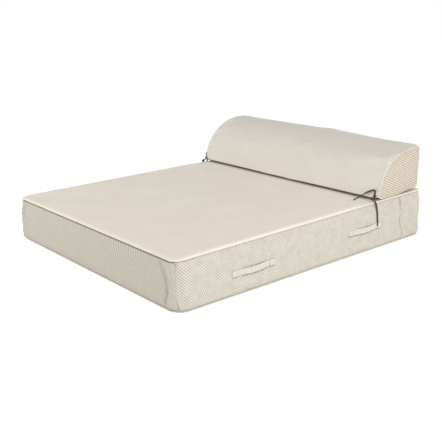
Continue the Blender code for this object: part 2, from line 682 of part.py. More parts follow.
def ties(mattress_origin, hinge):
    for word, side in (("right", 1), ("left", -1)):
        tie_knot(f"tie_knot_{word}", side, mattress_origin)
        tie_tab(f"tie_tab_{word}", side, mattress_origin)
        bolster_tie_tape(f"bolster_tie_tape_{word}", side, hinge)
        for name, route, across, origin in (("tie_loop", LOOP_ROUTE, LOOP_ACROSS, hinge),
                                            ("tie_end", END_ROUTE, END_ACROSS, mattress_origin),
                                            ("tie_tail", TAIL_ROUTE, TAIL_ACROSS, mattress_origin)):
            tape = ribbon(tie_route(side, route), tie_across(side, across), TAPE_WIDTH, TAPE)
            finish_object(f"{name}_{word}", tape, BROWN, 0.85, origin)


def handles(origin):
    for word, side in (("right", 1), ("left", -1)):
        handle(f"handle_{word}_foot", side, HANDLE_FOOT_INSET - HALF_LENGTH, HANDLE_FOOT_Z, origin)
        handle(f"handle_{word}_head", side, HALF_LENGTH - HANDLE_HEAD_INSET, HANDLE_HEAD_Z, origin)


def mattress():
    origin = Vector()
    grid = mattress_grid()
    normals = grid_normals(grid, (Vector((0, 0, -1)), Vector((0, 0, 1))))
    mattress_foam_core(grid, normals, origin)
    mattress_cover(grid, normals, origin)
    zip_set("mattress", HALF_LENGTH + BAND_BULGE, ZIP_HEIGHT, origin)
    handles(origin)


def bolster(hinge):
    grid = bolster_grid()
    normals = grid_normals(grid, (Vector((1, 0, 0)), Vector((-1, 0, 0))))
    bolster_foam_core(grid, normals, hinge)
    bolster_cover(grid, normals, hinge)
    zip_set("bolster", BOLSTER_FRONT + BOLSTER_DEPTH, SOLE_Z + BOLSTER_ZIP_HEIGHT, hinge)


clear_scene()
tie_line = Vector((0, TIE_Y, TIE_Z))
mattress()
bolster(tie_line)
ties(Vector(), tie_line)
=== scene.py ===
import json
import math

import bpy
import numpy as np
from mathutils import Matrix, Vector, noise

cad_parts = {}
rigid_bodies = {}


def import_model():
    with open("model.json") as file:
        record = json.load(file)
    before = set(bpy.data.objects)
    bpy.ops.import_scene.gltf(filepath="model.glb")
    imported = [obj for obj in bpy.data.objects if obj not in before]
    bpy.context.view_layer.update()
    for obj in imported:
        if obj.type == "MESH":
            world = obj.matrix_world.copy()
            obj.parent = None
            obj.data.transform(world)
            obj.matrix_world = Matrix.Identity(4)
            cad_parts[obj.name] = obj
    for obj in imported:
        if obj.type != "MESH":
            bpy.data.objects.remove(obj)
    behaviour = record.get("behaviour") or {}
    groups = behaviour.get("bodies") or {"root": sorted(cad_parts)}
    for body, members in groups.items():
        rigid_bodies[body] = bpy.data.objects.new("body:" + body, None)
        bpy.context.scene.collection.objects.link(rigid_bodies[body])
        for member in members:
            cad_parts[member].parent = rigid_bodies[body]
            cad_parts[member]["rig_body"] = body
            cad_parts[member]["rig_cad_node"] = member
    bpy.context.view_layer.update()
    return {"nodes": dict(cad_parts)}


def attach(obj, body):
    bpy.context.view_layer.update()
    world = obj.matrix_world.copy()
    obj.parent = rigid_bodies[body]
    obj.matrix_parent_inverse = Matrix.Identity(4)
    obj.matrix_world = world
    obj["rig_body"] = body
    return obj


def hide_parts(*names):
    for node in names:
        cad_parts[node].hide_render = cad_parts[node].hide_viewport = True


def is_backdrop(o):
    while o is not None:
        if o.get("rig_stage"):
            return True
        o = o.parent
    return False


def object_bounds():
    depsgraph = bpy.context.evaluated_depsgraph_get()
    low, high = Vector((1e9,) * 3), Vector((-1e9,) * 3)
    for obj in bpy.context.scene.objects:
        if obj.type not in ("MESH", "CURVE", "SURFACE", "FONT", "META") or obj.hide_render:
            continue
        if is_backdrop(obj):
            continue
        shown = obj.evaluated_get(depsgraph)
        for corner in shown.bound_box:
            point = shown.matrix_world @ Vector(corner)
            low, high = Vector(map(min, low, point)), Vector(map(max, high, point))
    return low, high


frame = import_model()


# The camera stands off the right foot corner, a little above the lounger, and looks down 16 degrees.
CAMERA_PLACE = (3.3075, -2.8849, 1.3947)
CAMERA_TURN = 0.8557
CAMERA_DROP = 0.2793
CAMERA_LENS = 57.86

bpy.ops.object.select_all(action="DESELECT")
bpy.ops.object.camera_add(location=CAMERA_PLACE)
camera = bpy.context.object
camera.name = "camera"
looking = Vector((-math.sin(CAMERA_TURN) * math.cos(CAMERA_DROP),
                  math.cos(CAMERA_TURN) * math.cos(CAMERA_DROP), -math.sin(CAMERA_DROP)))
camera.rotation_mode = "QUATERNION"
camera.rotation_quaternion = looking.to_track_quat("-Z", "Y")
camera.data.sensor_width = 36
camera.data.lens = CAMERA_LENS
camera.data.clip_end = 200
bpy.context.scene.camera = camera
bpy.context.scene.view_settings.view_transform = "Standard"


# Tie tapes: dark brown cotton tape, 12 mm wide. Each holds a front corner of the bolster down in a half bow.
# The loop stands over the knot and the long tail hangs down the side. On the right, loop and short end lie over the
# mattress; on the left they have dropped over the far side, out of the picture but for the top of the loop.
# A route gives its points as (out from the mattress edge, along it, up from its top), then how the tape turns. The
# facts of a part are the body it rides on, what its far end meets and how it lies.
MATTRESS_HALF_WIDTH = 0.80
MATTRESS_HALF_LENGTH = 1.00
MATTRESS_TOP = 0.285
WEDGE_RISE = 0.030
TAPE_WIDTH = 0.012
TAPE_THICKNESS = 0.0015
TIE_ROUTES = {
    "tie_loop": (
        ((-0.003, 0.501, 0.0300), (-0.001, 0.509, 0.043), (-0.005, 0.520, 0.060), (-0.017, 0.526, 0.068),
         (-0.038, 0.528, 0.062), (-0.066, 0.529, 0.048), (-0.094, 0.529, 0.032), (-0.116, 0.529, 0.018),
         (-0.130, 0.529, 0.005)),
        ((1, 0, 0), (1, 0.4, 0), (0.6, 0.5, 0.6), (0.2, 0.3, 1), (0, 0.3, 1), (0, 0.5, 0.9), (0, 0.8, 0.5),
         (0, 1, 0.2), (0, 1, 0))),
    "tie_end": (
        ((-0.1335, 0.530, 0.0014), (-0.131, 0.514, 0.0014), (-0.125, 0.495, 0.0022), (-0.120, 0.475, 0.0014),
         (-0.112, 0.456, 0.0012)),
        ((1, 0.1, 0), (1, 0.2, 0), (1, 0.3, 0.1), (1, 0.3, 0), (1, 0.4, 0))),
    "tie_tail": (
        ((0.0058, 0.500, 0.0190), (0.0094, 0.503, 0.011), (0.0118, 0.510, -0.004), (0.0126, 0.520, -0.026),
         (0.0132, 0.528, -0.055), (0.0146, 0.533, -0.090), (0.0162, 0.536, -0.120), (0.0162, 0.537, -0.148)),
        ((0, 1, 0), (0.3, 1, 0), (0.5, 0.9, 0), (0.3, 1, 0), (0.3, 1, 0), (0.1, 1, 0), (0, 1, 0), (0, 1, 0))),
}
LEFT_ROUTES = {
    "tie_loop": (
        ((-0.003, 0.501, 0.0208), (0.002, 0.510, 0.015), (0.004, 0.519, 0.011), (0.003, 0.528, 0.018),
         (0.001, 0.534, 0.038), (0.002, 0.539, 0.056), (0.008, 0.544, 0.064), (0.0145, 0.548, 0.050),
         (0.018, 0.554, 0.020), (0.0185, 0.558, -0.010), (0.0185, 0.561, -0.036)),
        ((1, 0, 0), (1, 0.1, 0), (1, 0.2, 0), (1, 0.2, 0), (1, 0.2, 0), (0.8, 0.6, 0), (0.3, 1, 0), (0, 1, 0.1),
         (0, 1, 0.1), (0, 1, 0), (0, 1, 0))),
    "tie_end": (
        ((0.0185, 0.5615, -0.040), (0.0180, 0.563, -0.058), (0.0172, 0.566, -0.078), (0.0172, 0.570, -0.098),
         (0.0180, 0.572, -0.116)),
        ((0, 1, 0), (0, 1, 0.1), (0, 1, 0.2), (0.1, 1, 0.1), (0.2, 1, 0))),
    "tie_tail": (((0.0068, 0.500, 0.0100), (0.0098, 0.503, 0.005), (0.0118, 0.510, -0.007))
                 + TIE_ROUTES["tie_tail"][0][3:], TIE_ROUTES["tie_tail"][1]),
}
TIE_FACTS = {"tie_loop": ("bolster", "object", "loose"), "tie_end": ("mattress", "bare", "loose"),
             "tie_tail": ("mattress", "bare", "hanging")}


def raised(points):
    """Lift points as the whole lounger grows thicker toward the head end."""
    points = np.array(points, float)
    share = np.minimum(points[..., 2] / MATTRESS_TOP, 1.0)
    points[..., 2] += WEDGE_RISE * points[..., 1] / (2 * MATTRESS_HALF_LENGTH) * share
    return points


def linear(code):
    """An sRGB hex colour as linear red, green, blue and alpha."""
    parts = [int(code[i:i + 2], 16) / 255 for i in (1, 3, 5)]
    return [p / 12.92 if p <= 0.04045 else ((p + 0.055) / 1.055) ** 2.4 for p in parts] + [1.0]


def add_node(material, kind, inputs=None, **settings):
    """One shader node with its settings; an input given as (node, output) is linked, any other is set."""
    made = material.node_tree.nodes.new(f"ShaderNode{kind}")
    for name, value in settings.items():
        setattr(made, name, value)
    for name, value in (inputs or {}).items():
        if isinstance(value, tuple) and isinstance(value[0], bpy.types.Node):
            material.node_tree.links.new(value[0].outputs[value[1]], made.inputs[name])
        else:
            made.inputs[name].default_value = value
    return made


def new_material(name, roughness, **sockets):
    """An empty finish: its shader with constants set on the shader's own sockets."""
    material = bpy.data.materials.new(name)
    material.use_nodes = True
    shader = material.node_tree.nodes["Principled BSDF"]
    shader.inputs["Roughness"].default_value = roughness
    for socket, value in sockets.items():
        shader.inputs[socket.replace("_", " ")].default_value = value
    return material, shader


def plug_in(material, shader, colour=None, height=None, strength=0.5, distance=0.001):
    """Join a colour and a bump height to the shader."""
    if colour:
        material.node_tree.links.new(colour[0].outputs[colour[1]], shader.inputs["Base Color"])
    if height:
        bump = add_node(material, "Bump", {"Height": height, "Strength": strength, "Distance": distance})
        material.node_tree.links.new(bump.outputs["Normal"], shader.inputs["Normal"])


def two_tone(material, amount, dark, light, stops=(0.3, 0.7)):
    """A colour ramp between two hex colours."""
    ramp = add_node(material, "ValToRGB", {"Fac": amount})
    for stop, place, code in zip(ramp.color_ramp.elements, stops, (dark, light)):
        stop.position = place
        stop.color = linear(code)
    return ramp, "Color"


# Cotton twill tape, woven and piece dyed: matt and dark, lighter where worn, with a slanted rib drawn every 1.7 mm.
tape_cotton, tape_shader = new_material("brown_cotton_twill_tape", 0.9)
tape_uv = add_node(tape_cotton, "TexCoord")
tape_rib = add_node(tape_cotton, "TexWave", {"Vector": (tape_uv, "UV"), "Scale": 260.0, "Distortion": 0.4},
                    bands_direction="DIAGONAL")
tape_wear = add_node(tape_cotton, "TexNoise", {"Vector": (tape_uv, "Object"), "Scale": 90.0, "Detail": 3.0})
plug_in(tape_cotton, tape_shader, two_tone(tape_cotton, (tape_wear, "Fac"), "#3B3228", "#5A4D3E"),
        (tape_rib, "Fac"), 0.4, 0.0003)


def smooth_path(points, steps):
    """Points on a smooth curve through the given ones."""
    points = [Vector(point) for point in points]
    ends = [2 * points[0] - points[1]] + points + [2 * points[-1] - points[-2]]
    path = []
    for before, start, end, after in zip(ends, ends[1:], ends[2:], ends[3:]):
        for step in range(steps):
            t = step / steps
            path.append(0.5 * (2 * start + (end - before) * t
                               + (2 * before - 5 * start + 4 * end - after) * t ** 2
                               + (3 * start - before - 3 * end + after) * t ** 3))
    path.append(points[-1])
    return path


def new_mesh(name, points, faces, uvs=None, material=None):
    """An object whose place is in its mesh. The faces' corners take their UV from their vertex."""
    mesh = bpy.data.meshes.new(name)
    mesh.from_pydata([tuple(p) for p in points], [], faces)
    if uvs is not None:
        corners = np.zeros(len(mesh.loops), np.int32)
        mesh.loops.foreach_get("vertex_index", corners)
        mesh.uv_layers.new(name="cloth").data.foreach_set("uv", np.array(uvs, float)[corners].ravel())
    mesh.shade_smooth()
    made = bpy.data.objects.new(name, mesh)
    bpy.context.scene.collection.objects.link(made)
    if material:
        mesh.materials.append(material)
    return made


def tube_faces(rings, around):
    """Quads between closed rings of points, and a face on each end."""
    faces = []
    for ring in range(rings - 1):
        for step in range(around):
            after = (step + 1) % around
            low, high = ring * around, (ring + 1) * around
            faces.append((low + step, low + after, high + after, high + step))
    faces.append(tuple(reversed(range(around))))
    faces.append(tuple(range((rings - 1) * around, rings * around)))
    return faces


def woven_tape(name, route, across, width, thickness, steps, material):
    """A flat tape with rounded selvedges along a smooth route; its width turns as the second list says."""
    path = smooth_path(route, steps)
    turns = smooth_path(across, steps)
    outline = [(1.0, 0.0), (0.93, 0.36), (0.75, 0.5), (0.25, 0.42), (-0.25, 0.42), (-0.75, 0.5), (-0.93, 0.36),
               (-1.0, 0.0), (-0.93, -0.36), (-0.75, -0.5), (0.75, -0.5), (0.93, -0.36)]
    points, uvs, walked = [], [], 0.0
    for index, (point, turn) in enumerate(zip(path, turns)):
        along = (path[min(index + 1, len(path) - 1)] - path[max(index - 1, 0)]).normalized()
        side = (turn - along * turn.dot(along)).normalized()
        up = along.cross(side).normalized()
        walked += (point - path[max(index - 1, 0)]).length
        for out, lift in outline:
            points.append(point + side * out * width / 2 + up * lift * thickness)
            uvs.append((walked, out * width / 2))
    made = new_mesh(name, points, tube_faces(len(path), len(outline)), uvs, material)
    outward(made)
    return made, path


def select_only(piece):
    """Make the piece the active object and the only selected one."""
    bpy.ops.object.select_all(action="DESELECT")
    bpy.context.view_layer.objects.active = piece
    piece.select_set(True)


def outward(piece):
    """Turn the faces of a closed piece outward."""
    select_only(piece)
    bpy.ops.object.mode_set(mode="EDIT")
    bpy.ops.mesh.select_all(action="SELECT")
    bpy.ops.mesh.normals_make_consistent(inside=False)
    bpy.ops.object.mode_set(mode="OBJECT")


SIDES = (("right", 1), ("left", -1))
for word, side in SIDES:
    for kind, (route, across) in (TIE_ROUTES if side > 0 else LEFT_ROUTES).items():
        body, far_end, lay = TIE_FACTS[kind]
        places = raised([(side * (MATTRESS_HALF_WIDTH + out), y, MATTRESS_TOP + up) for out, y, up in route])
        turns = [Vector((side * x, y, z)) for x, y, z in across]
        tape, path = woven_tape(f"{kind}_tape_{word}", places, turns, TAPE_WIDTH, TAPE_THICKNESS, 4, tape_cotton)
        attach(tape, body)
        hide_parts(f"{kind}_{word}")


# Each tape's knot is a tight round half bow at the edge of the mattress: two wraps over a pinched core.
# The left one lies on the mattress. The right one is drawn up off it by the bolster's tape, as the photo shows.
KNOT_PLACE_Y = 0.500
KNOT_INSET = 0.005
KNOT_HEIGHTS = {"right": 0.0195, "left": 0.010}
KNOT_CORE_RADII = (0.0088, 0.0082, 0.0086)
KNOT_WRAPS = ((0.0066, 0.0030, 0.0022, (0, 90, 14)), (0.0064, 0.0027, -0.0030, (20, 82, 0)))
for word, side in SIDES:
    middle = (side * (MATTRESS_HALF_WIDTH - KNOT_INSET), KNOT_PLACE_Y, MATTRESS_TOP + KNOT_HEIGHTS[word])
    middle = raised(middle)
    bpy.ops.mesh.primitive_uv_sphere_add(segments=20, ring_count=12, radius=1.0, location=middle,
                                         scale=KNOT_CORE_RADII)
    core = bpy.context.object
    wraps = []
    for radius, half_thickness, out, turn in KNOT_WRAPS:
        bpy.ops.mesh.primitive_torus_add(
            major_segments=28, minor_segments=10, major_radius=radius, minor_radius=half_thickness,
            location=middle + np.array((side * out, 0, 0)), rotation=[math.radians(angle) for angle in turn])
        wraps.append(bpy.context.object)
    select_only(core)
    for wrap in wraps:
        wrap.select_set(True)
    bpy.ops.object.join()
    bpy.ops.object.transform_apply(location=True, rotation=True, scale=True)
    core.name = f"tie_knot_wraps_{word}"
    core.data.materials.clear()
    core.data.materials.append(tape_cotton)
    bpy.ops.object.shade_smooth()
    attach(core, "mattress")
    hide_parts(f"tie_knot_{word}")


# A short tape of the same cotton, sewn into each front corner of the bolster, runs down into its knot. It turns
# with the bolster. Its route is given on the right side, from the knot up.
BOLSTER_TAPE_ROUTE = ((0.7905, 0.5240, 0.3090), (0.786, 0.5401, 0.3200))
for word, side in SIDES:
    knot = (MATTRESS_HALF_WIDTH - KNOT_INSET, KNOT_PLACE_Y + 0.001, MATTRESS_TOP + KNOT_HEIGHTS[word])
    places = raised([(side * x, y, z) for x, y, z in (knot, *BOLSTER_TAPE_ROUTE)])
    tape = woven_tape(f"bolster_sewn_tape_{word}", places, [Vector((1, 0, 0))] * len(places), TAPE_WIDTH,
                      TAPE_THICKNESS, 6, tape_cotton)[0]
    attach(tape, "bolster")
    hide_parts(f"bolster_tie_tape_{word}")


# The mattress cover: a smooth top and bottom panel with textured side bands between two sewn seams.
# Polyester cloth over foam, pulled in at the seams and puffed between them. The near corners are gathered.
# The band's profile is given as (height, out), and the panels' rings toward the seam as (inset, out, height).
CORNER_RADIUS = 0.055
CORNER_EASE = 0.024
CORNER_EASE_TOP = 0.13
SEAM_DRAW = -0.006
BASE_DRAW = -0.0015
BASE_SPREAD = 0.022
REAR_CORNER_FULL = 0.011
CROWN = 0.006
ZIP_BAND_RISE = 0.003
TOP_SEAM_HEIGHT = 0.272
BASE_SEAM_HEIGHT = 0.0145
COVER_THICKNESS = 0.0016
REAR_SEAM_Y = 0.770
ZIP_HALF_LENGTH = 0.700
ZIP_HALF_OPENING = 0.011
MATTRESS_ZIP_HEIGHT = 0.130
BAND_PROFILE = ((BASE_SEAM_HEIGHT, BASE_DRAW), (0.0160, 0.0010), (0.0185, 0.0042), (0.0240, 0.0082), (0.034, 0.0112),
                (0.050, 0.0120), (0.070, 0.0108), (0.090, 0.0085), (0.105, 0.0074), (0.119, 0.0070), (0.141, 0.0070),
                (0.163, 0.0068), (0.190, 0.0062), (0.225, 0.0050), (0.250, 0.0034), (0.2625, 0.0016),
                (0.2680, -0.0008), (0.2700, -0.0028), (TOP_SEAM_HEIGHT, SEAM_DRAW))
TOP_RINGS = ((0.0, SEAM_DRAW, TOP_SEAM_HEIGHT), (0.0020, -0.0026, 0.2735), (0.0045, -0.0002, 0.2760),
             (0.0085, 0.0004, 0.2795), (0.0130, -0.0028, 0.2828), (0.0190, -0.0085, 0.2846),
             (0.0270, -0.0165, 0.2852), (0.0400, -0.0300, MATTRESS_TOP))
BASE_RINGS = ((0.0, BASE_DRAW, BASE_SEAM_HEIGHT), (0.0020, 0.0012, 0.0128), (0.0045, 0.0020, 0.0105),
              (0.0085, 0.0004, 0.0065), (0.0140, -0.0048, 0.0030), (0.0210, -0.0120, 0.0010), (0.0320, -0.0230, 0.0))
EDGE_LINES = (0.0, 0.0020, 0.0045, 0.0085, 0.0130, 0.0190, 0.0270, 0.0360, 0.0460, 0.0560)
GRID_STEP = 0.0105


def faded(value, start, end):
    """0 before start, 1 after end, smooth between them."""
    share = np.clip((value - start) / (end - start), 0, 1)
    return share * share * (3 - 2 * share)


def line_places(half, extra=()):
    """Grid lines across a panel: close together near its sewn edges, then about every 10 mm."""
    inner = half - EDGE_LINES[-1]
    count = int(round(2 * inner / GRID_STEP))
    places = set(round(-inner + 2 * inner * i / count, 5) for i in range(count + 1))
    places |= set(round(sign * (half - inset), 5) for inset in EDGE_LINES for sign in (-1, 1))
    for place in extra:
        places = set(p for p in places if abs(p - place) > 0.004) | {round(place, 5)}
    return np.array(sorted(places))


lines_x = line_places(MATTRESS_HALF_WIDTH, (-ZIP_HALF_LENGTH, ZIP_HALF_LENGTH))
lines_y = line_places(MATTRESS_HALF_LENGTH, [REAR_SEAM_Y + step for step in (-0.009, -0.004, 0.0, 0.004, 0.009)])


def rounded(nominal_x, nominal_y, inset, out, radius):
    """Places on the rounded rectangle of each ring, from places on a square-cornered grid."""
    half_x, half_y = MATTRESS_HALF_WIDTH, MATTRESS_HALF_LENGTH
    from_x, from_y = half_x - np.abs(nominal_x), half_y - np.abs(nominal_y)
    on_side = from_x <= from_y
    past = np.maximum(from_x, from_y) - inset
    safe = np.maximum(radius, 1e-6)
    angle = np.where(past < radius, (1 - past / safe) * math.pi / 4, 0.0)
    reach_x, reach_y = half_x + out, half_y + out
    long_x = (reach_x - radius) * np.abs(nominal_x) / np.maximum(half_x - inset - radius, 1e-6)
    long_y = (reach_y - radius) * np.abs(nominal_y) / np.maximum(half_y - inset - radius, 1e-6)
    arc_near = radius * np.cos(angle)
    arc_far = radius * np.sin(angle)
    straight = past >= radius
    x_side, y_side = reach_x - radius + arc_near, np.where(straight, long_y, reach_y - radius + arc_far)
    y_end, x_end = reach_y - radius + arc_near, np.where(straight, long_x, reach_x - radius + arc_far)
    x = np.where(on_side, x_side, x_end) * np.sign(nominal_x)
    y = np.where(on_side, y_side, y_end) * np.sign(nominal_y)
    return x, y


def in_window(points, height):
    """Which places lie over a zip: on the head side, between its ends and within its opening."""
    x, y, z = points[..., 0], points[..., 1], points[..., 2]
    return (np.abs(x) < ZIP_HALF_LENGTH + 1e-5) & (y > 0.9) & (np.abs(z - height) < ZIP_HALF_OPENING + 1e-5)


def grid_piece(name, points, uvs, material, flip=False, window=None):
    """A sheet of quads over a grid of points, open where the zip at the window's height goes."""
    rows, columns = points.shape[:2]
    index = np.arange(rows * columns).reshape(rows, columns)
    quads = np.stack([index[:-1, :-1], index[:-1, 1:], index[1:, 1:], index[1:, :-1]], -1).reshape(-1, 4)
    if window is not None:
        over = in_window(points, window).ravel()
        quads = quads[~over[quads].all(1)]
    if flip:
        quads = quads[:, ::-1]
    return new_mesh(name, points.reshape(-1, 3), quads.tolist(), uvs.reshape(-1, 2), material)


def flat_panel(name, rings, material, flip):
    """The top or bottom panel with the roll down to its seam."""
    insets, outs, heights = zip(*rings, (MATTRESS_HALF_WIDTH, -MATTRESS_HALF_WIDTH, rings[-1][2]))
    nominal_x, nominal_y = np.meshgrid(lines_x, lines_y)
    inset = np.minimum(MATTRESS_HALF_WIDTH - np.abs(nominal_x), MATTRESS_HALF_LENGTH - np.abs(nominal_y))
    out = np.interp(inset, insets, outs)
    radius = corner_radius(rings[0][2]) * (1 - inset / 0.2) + rings[0][1] * np.maximum(1 - inset / 0.02, 0)
    radius = np.maximum(radius, 0)
    x, y = rounded(nominal_x, nominal_y, inset, out, radius)
    points = np.stack([x, y, np.interp(inset, insets, heights)], -1)
    return grid_piece(name, points, points[..., :2].copy(), material, flip), inset


def corner_radius(height):
    """The corners are rounder toward the floor, where the foam pulls the cover in."""
    return CORNER_RADIUS + CORNER_EASE * (1 - faded(height, 0.0, CORNER_EASE_TOP))


def band_line(along, sign_x=0, sign_y=0):
    """Nominal places along one side of the mattress."""
    if sign_x:
        return np.full_like(along, sign_x * MATTRESS_HALF_WIDTH), along
    return along, np.full_like(along, sign_y * MATTRESS_HALF_LENGTH)


HEIGHTS_BETWEEN = (0.029, 0.042, 0.057, 0.063, 0.077, 0.084, 0.098, 0.112, 0.1245, 0.130, 0.1355, 0.148, 0.155,
                   0.170, 0.177, 0.184, 0.197, 0.204, 0.211, 0.218, 0.232, 0.238, 0.244, 0.256)
band_heights = np.array(sorted({height for height, _ in BAND_PROFILE} | set(HEIGHTS_BETWEEN)))


def side_band(name, nominal, material, window_rise=0.0):
    """A band between the seams; nominal is the run of places round the outline, anticlockwise from above."""
    nominal_x, heights = np.meshgrid(nominal[0], band_heights)
    nominal_y = np.meshgrid(nominal[1], band_heights)[0]
    out = np.interp(heights, *zip(*BAND_PROFILE))
    from_zip = np.abs(heights - MATTRESS_ZIP_HEIGHT)
    out = out + window_rise * faded(nominal_y, 0.82, 0.94) * (1 - faded(from_zip, ZIP_HALF_OPENING, 0.06))
    x, y = rounded(nominal_x, nominal_y, 0.0, out, corner_radius(heights) + out)
    run = np.concatenate([[0], np.cumsum(np.hypot(np.diff(x[0]), np.diff(y[0])))])
    uvs = np.stack(np.meshgrid(run, band_heights), -1)
    return grid_piece(name, np.stack([x, y, heights], -1), uvs, material,
                      window=MATTRESS_ZIP_HEIGHT if window_rise else None)


def read_vectors(items, key):
    """One vector of each item of a mesh, as rows."""
    flat = np.zeros(len(items) * 3)
    items.foreach_get(key, flat)
    return flat.reshape(-1, 3)


def read_points(piece):
    """The places of the piece's vertices, as rows."""
    return read_vectors(piece.data.vertices, "co")


def write_points(piece, points):
    """Move the piece's vertices to the given places."""
    piece.data.vertices.foreach_set("co", np.asarray(points, float).ravel())
    piece.data.update()


# How the upholstery cloth behaves in the simulation: a firm weave that hardly stretches and bends easily.
CLOTH_FACTS = {"quality": 4, "mass": 0.25, "tension_stiffness": 25, "compression_stiffness": 25,
               "shear_stiffness": 12, "bending_stiffness": 0.6}


def puff(piece, held, pressure, reach, slack, frames=14):
    """Cloth simulation of a panel over its foam: held points stay sewn, and no point moves further than reach."""
    start = read_points(piece)
    group = piece.vertex_groups.new(name="sewn")
    group.add([int(i) for i in np.flatnonzero(held)], 1.0, "REPLACE")
    cloth = piece.modifiers.new("Cloth", "CLOTH")
    settings = cloth.settings
    for key, value in CLOTH_FACTS.items():
        setattr(settings, key, value)
    settings.vertex_group_mass = "sewn"
    settings.shrink_min = -slack
    settings.use_pressure = True
    settings.uniform_pressure_force = pressure
    settings.effector_weights.gravity = 0
    cloth.collision_settings.use_collision = False
    for number in range(1, frames + 1):
        bpy.context.scene.frame_set(number)
    select_only(piece)
    bpy.ops.object.modifier_apply(modifier="Cloth")
    bpy.context.scene.frame_set(1)
    move = read_points(piece) - start
    size = np.linalg.norm(move, axis=1, keepdims=True)
    move *= reach * np.tanh(size / reach) / np.maximum(size, 1e-9)
    write_points(piece, start + move)


def grain(points, size, seed):
    """Smooth noise between about -1 and 1 at each point, with lumps of the given size."""
    return np.array([noise.noise(Vector(p) / size + Vector((seed, seed * 1.7, 0))) for p in points])


def thicken(piece, thickness=COVER_THICKNESS):
    """Give the sheet the thickness of the cloth, toward the foam."""
    solidify = piece.modifiers.new("Thickness", "SOLIDIFY")
    solidify.thickness = thickness
    solidify.offset = -1
    select_only(piece)
    bpy.ops.object.modifier_apply(modifier="Thickness")
    bpy.ops.object.mode_set(mode="EDIT")
    bpy.ops.mesh.select_all(action="SELECT")
    bpy.ops.mesh.delete_loose()
    bpy.ops.object.mode_set(mode="OBJECT")


def uv_of(piece):
    """The cloth UV of each vertex."""
    corners = np.zeros(len(piece.data.loops), np.int32)
    piece.data.loops.foreach_get("vertex_index", corners)
    flat = np.zeros(len(corners) * 2)
    piece.data.uv_layers["cloth"].data.foreach_get("uv", flat)
    uvs = np.zeros((len(piece.data.vertices), 2))
    uvs[corners] = flat.reshape(-1, 2)
    return uvs


# Smooth solution-dyed polyester, plain woven and coated: matt cream with a barely visible thread, which is drawn
# as a faint grain of 3 mm. The base panel is a greyer, uncoated piece of the same cloth.
def canvas(name, dark, light):
    """Plain cloth with faint clouds of tone and a fine thread relief."""
    material, shader = new_material(name, 0.78, Sheen_Weight=0.15, Sheen_Roughness=0.5)
    place = add_node(material, "TexCoord")
    cloud = add_node(material, "TexNoise", {"Vector": (place, "Object"), "Scale": 5.0, "Detail": 4.0,
                                            "Roughness": 0.6})
    thread = add_node(material, "TexNoise", {"Vector": (place, "Object"), "Scale": 330.0, "Detail": 2.0})
    plug_in(material, shader, two_tone(material, (cloud, "Fac"), dark, light, (0.25, 0.75)), (thread, "Fac"),
            0.25, 0.0006)
    return material


smooth_cloth = canvas("smooth_polyester_canvas", "#F0E7DB", "#F7EFE2")
base_cloth = canvas("plain_polyester_base", "#C6BFB1", "#CEC8BB")


# The single yarns slant across the cloth, drawn 3.6 mm apart: a faint share of its tone and relief. Its base tone
# is a little uneven in patches of about 45 mm, where the floats lie looser or tighter. Painted shade darkens the
# crease of the top seam over the last 6 mm below it, fully from 3 mm.
YARN_SCALE = 125.0
YARN_SHARE = 0.22
PATCH_SCALE = 22.0
CREASE_SHADE_FROM, CREASE_SHADE_FULL = 0.006, 0.003
CREASE_SHADE_TONE = "#6E6353"


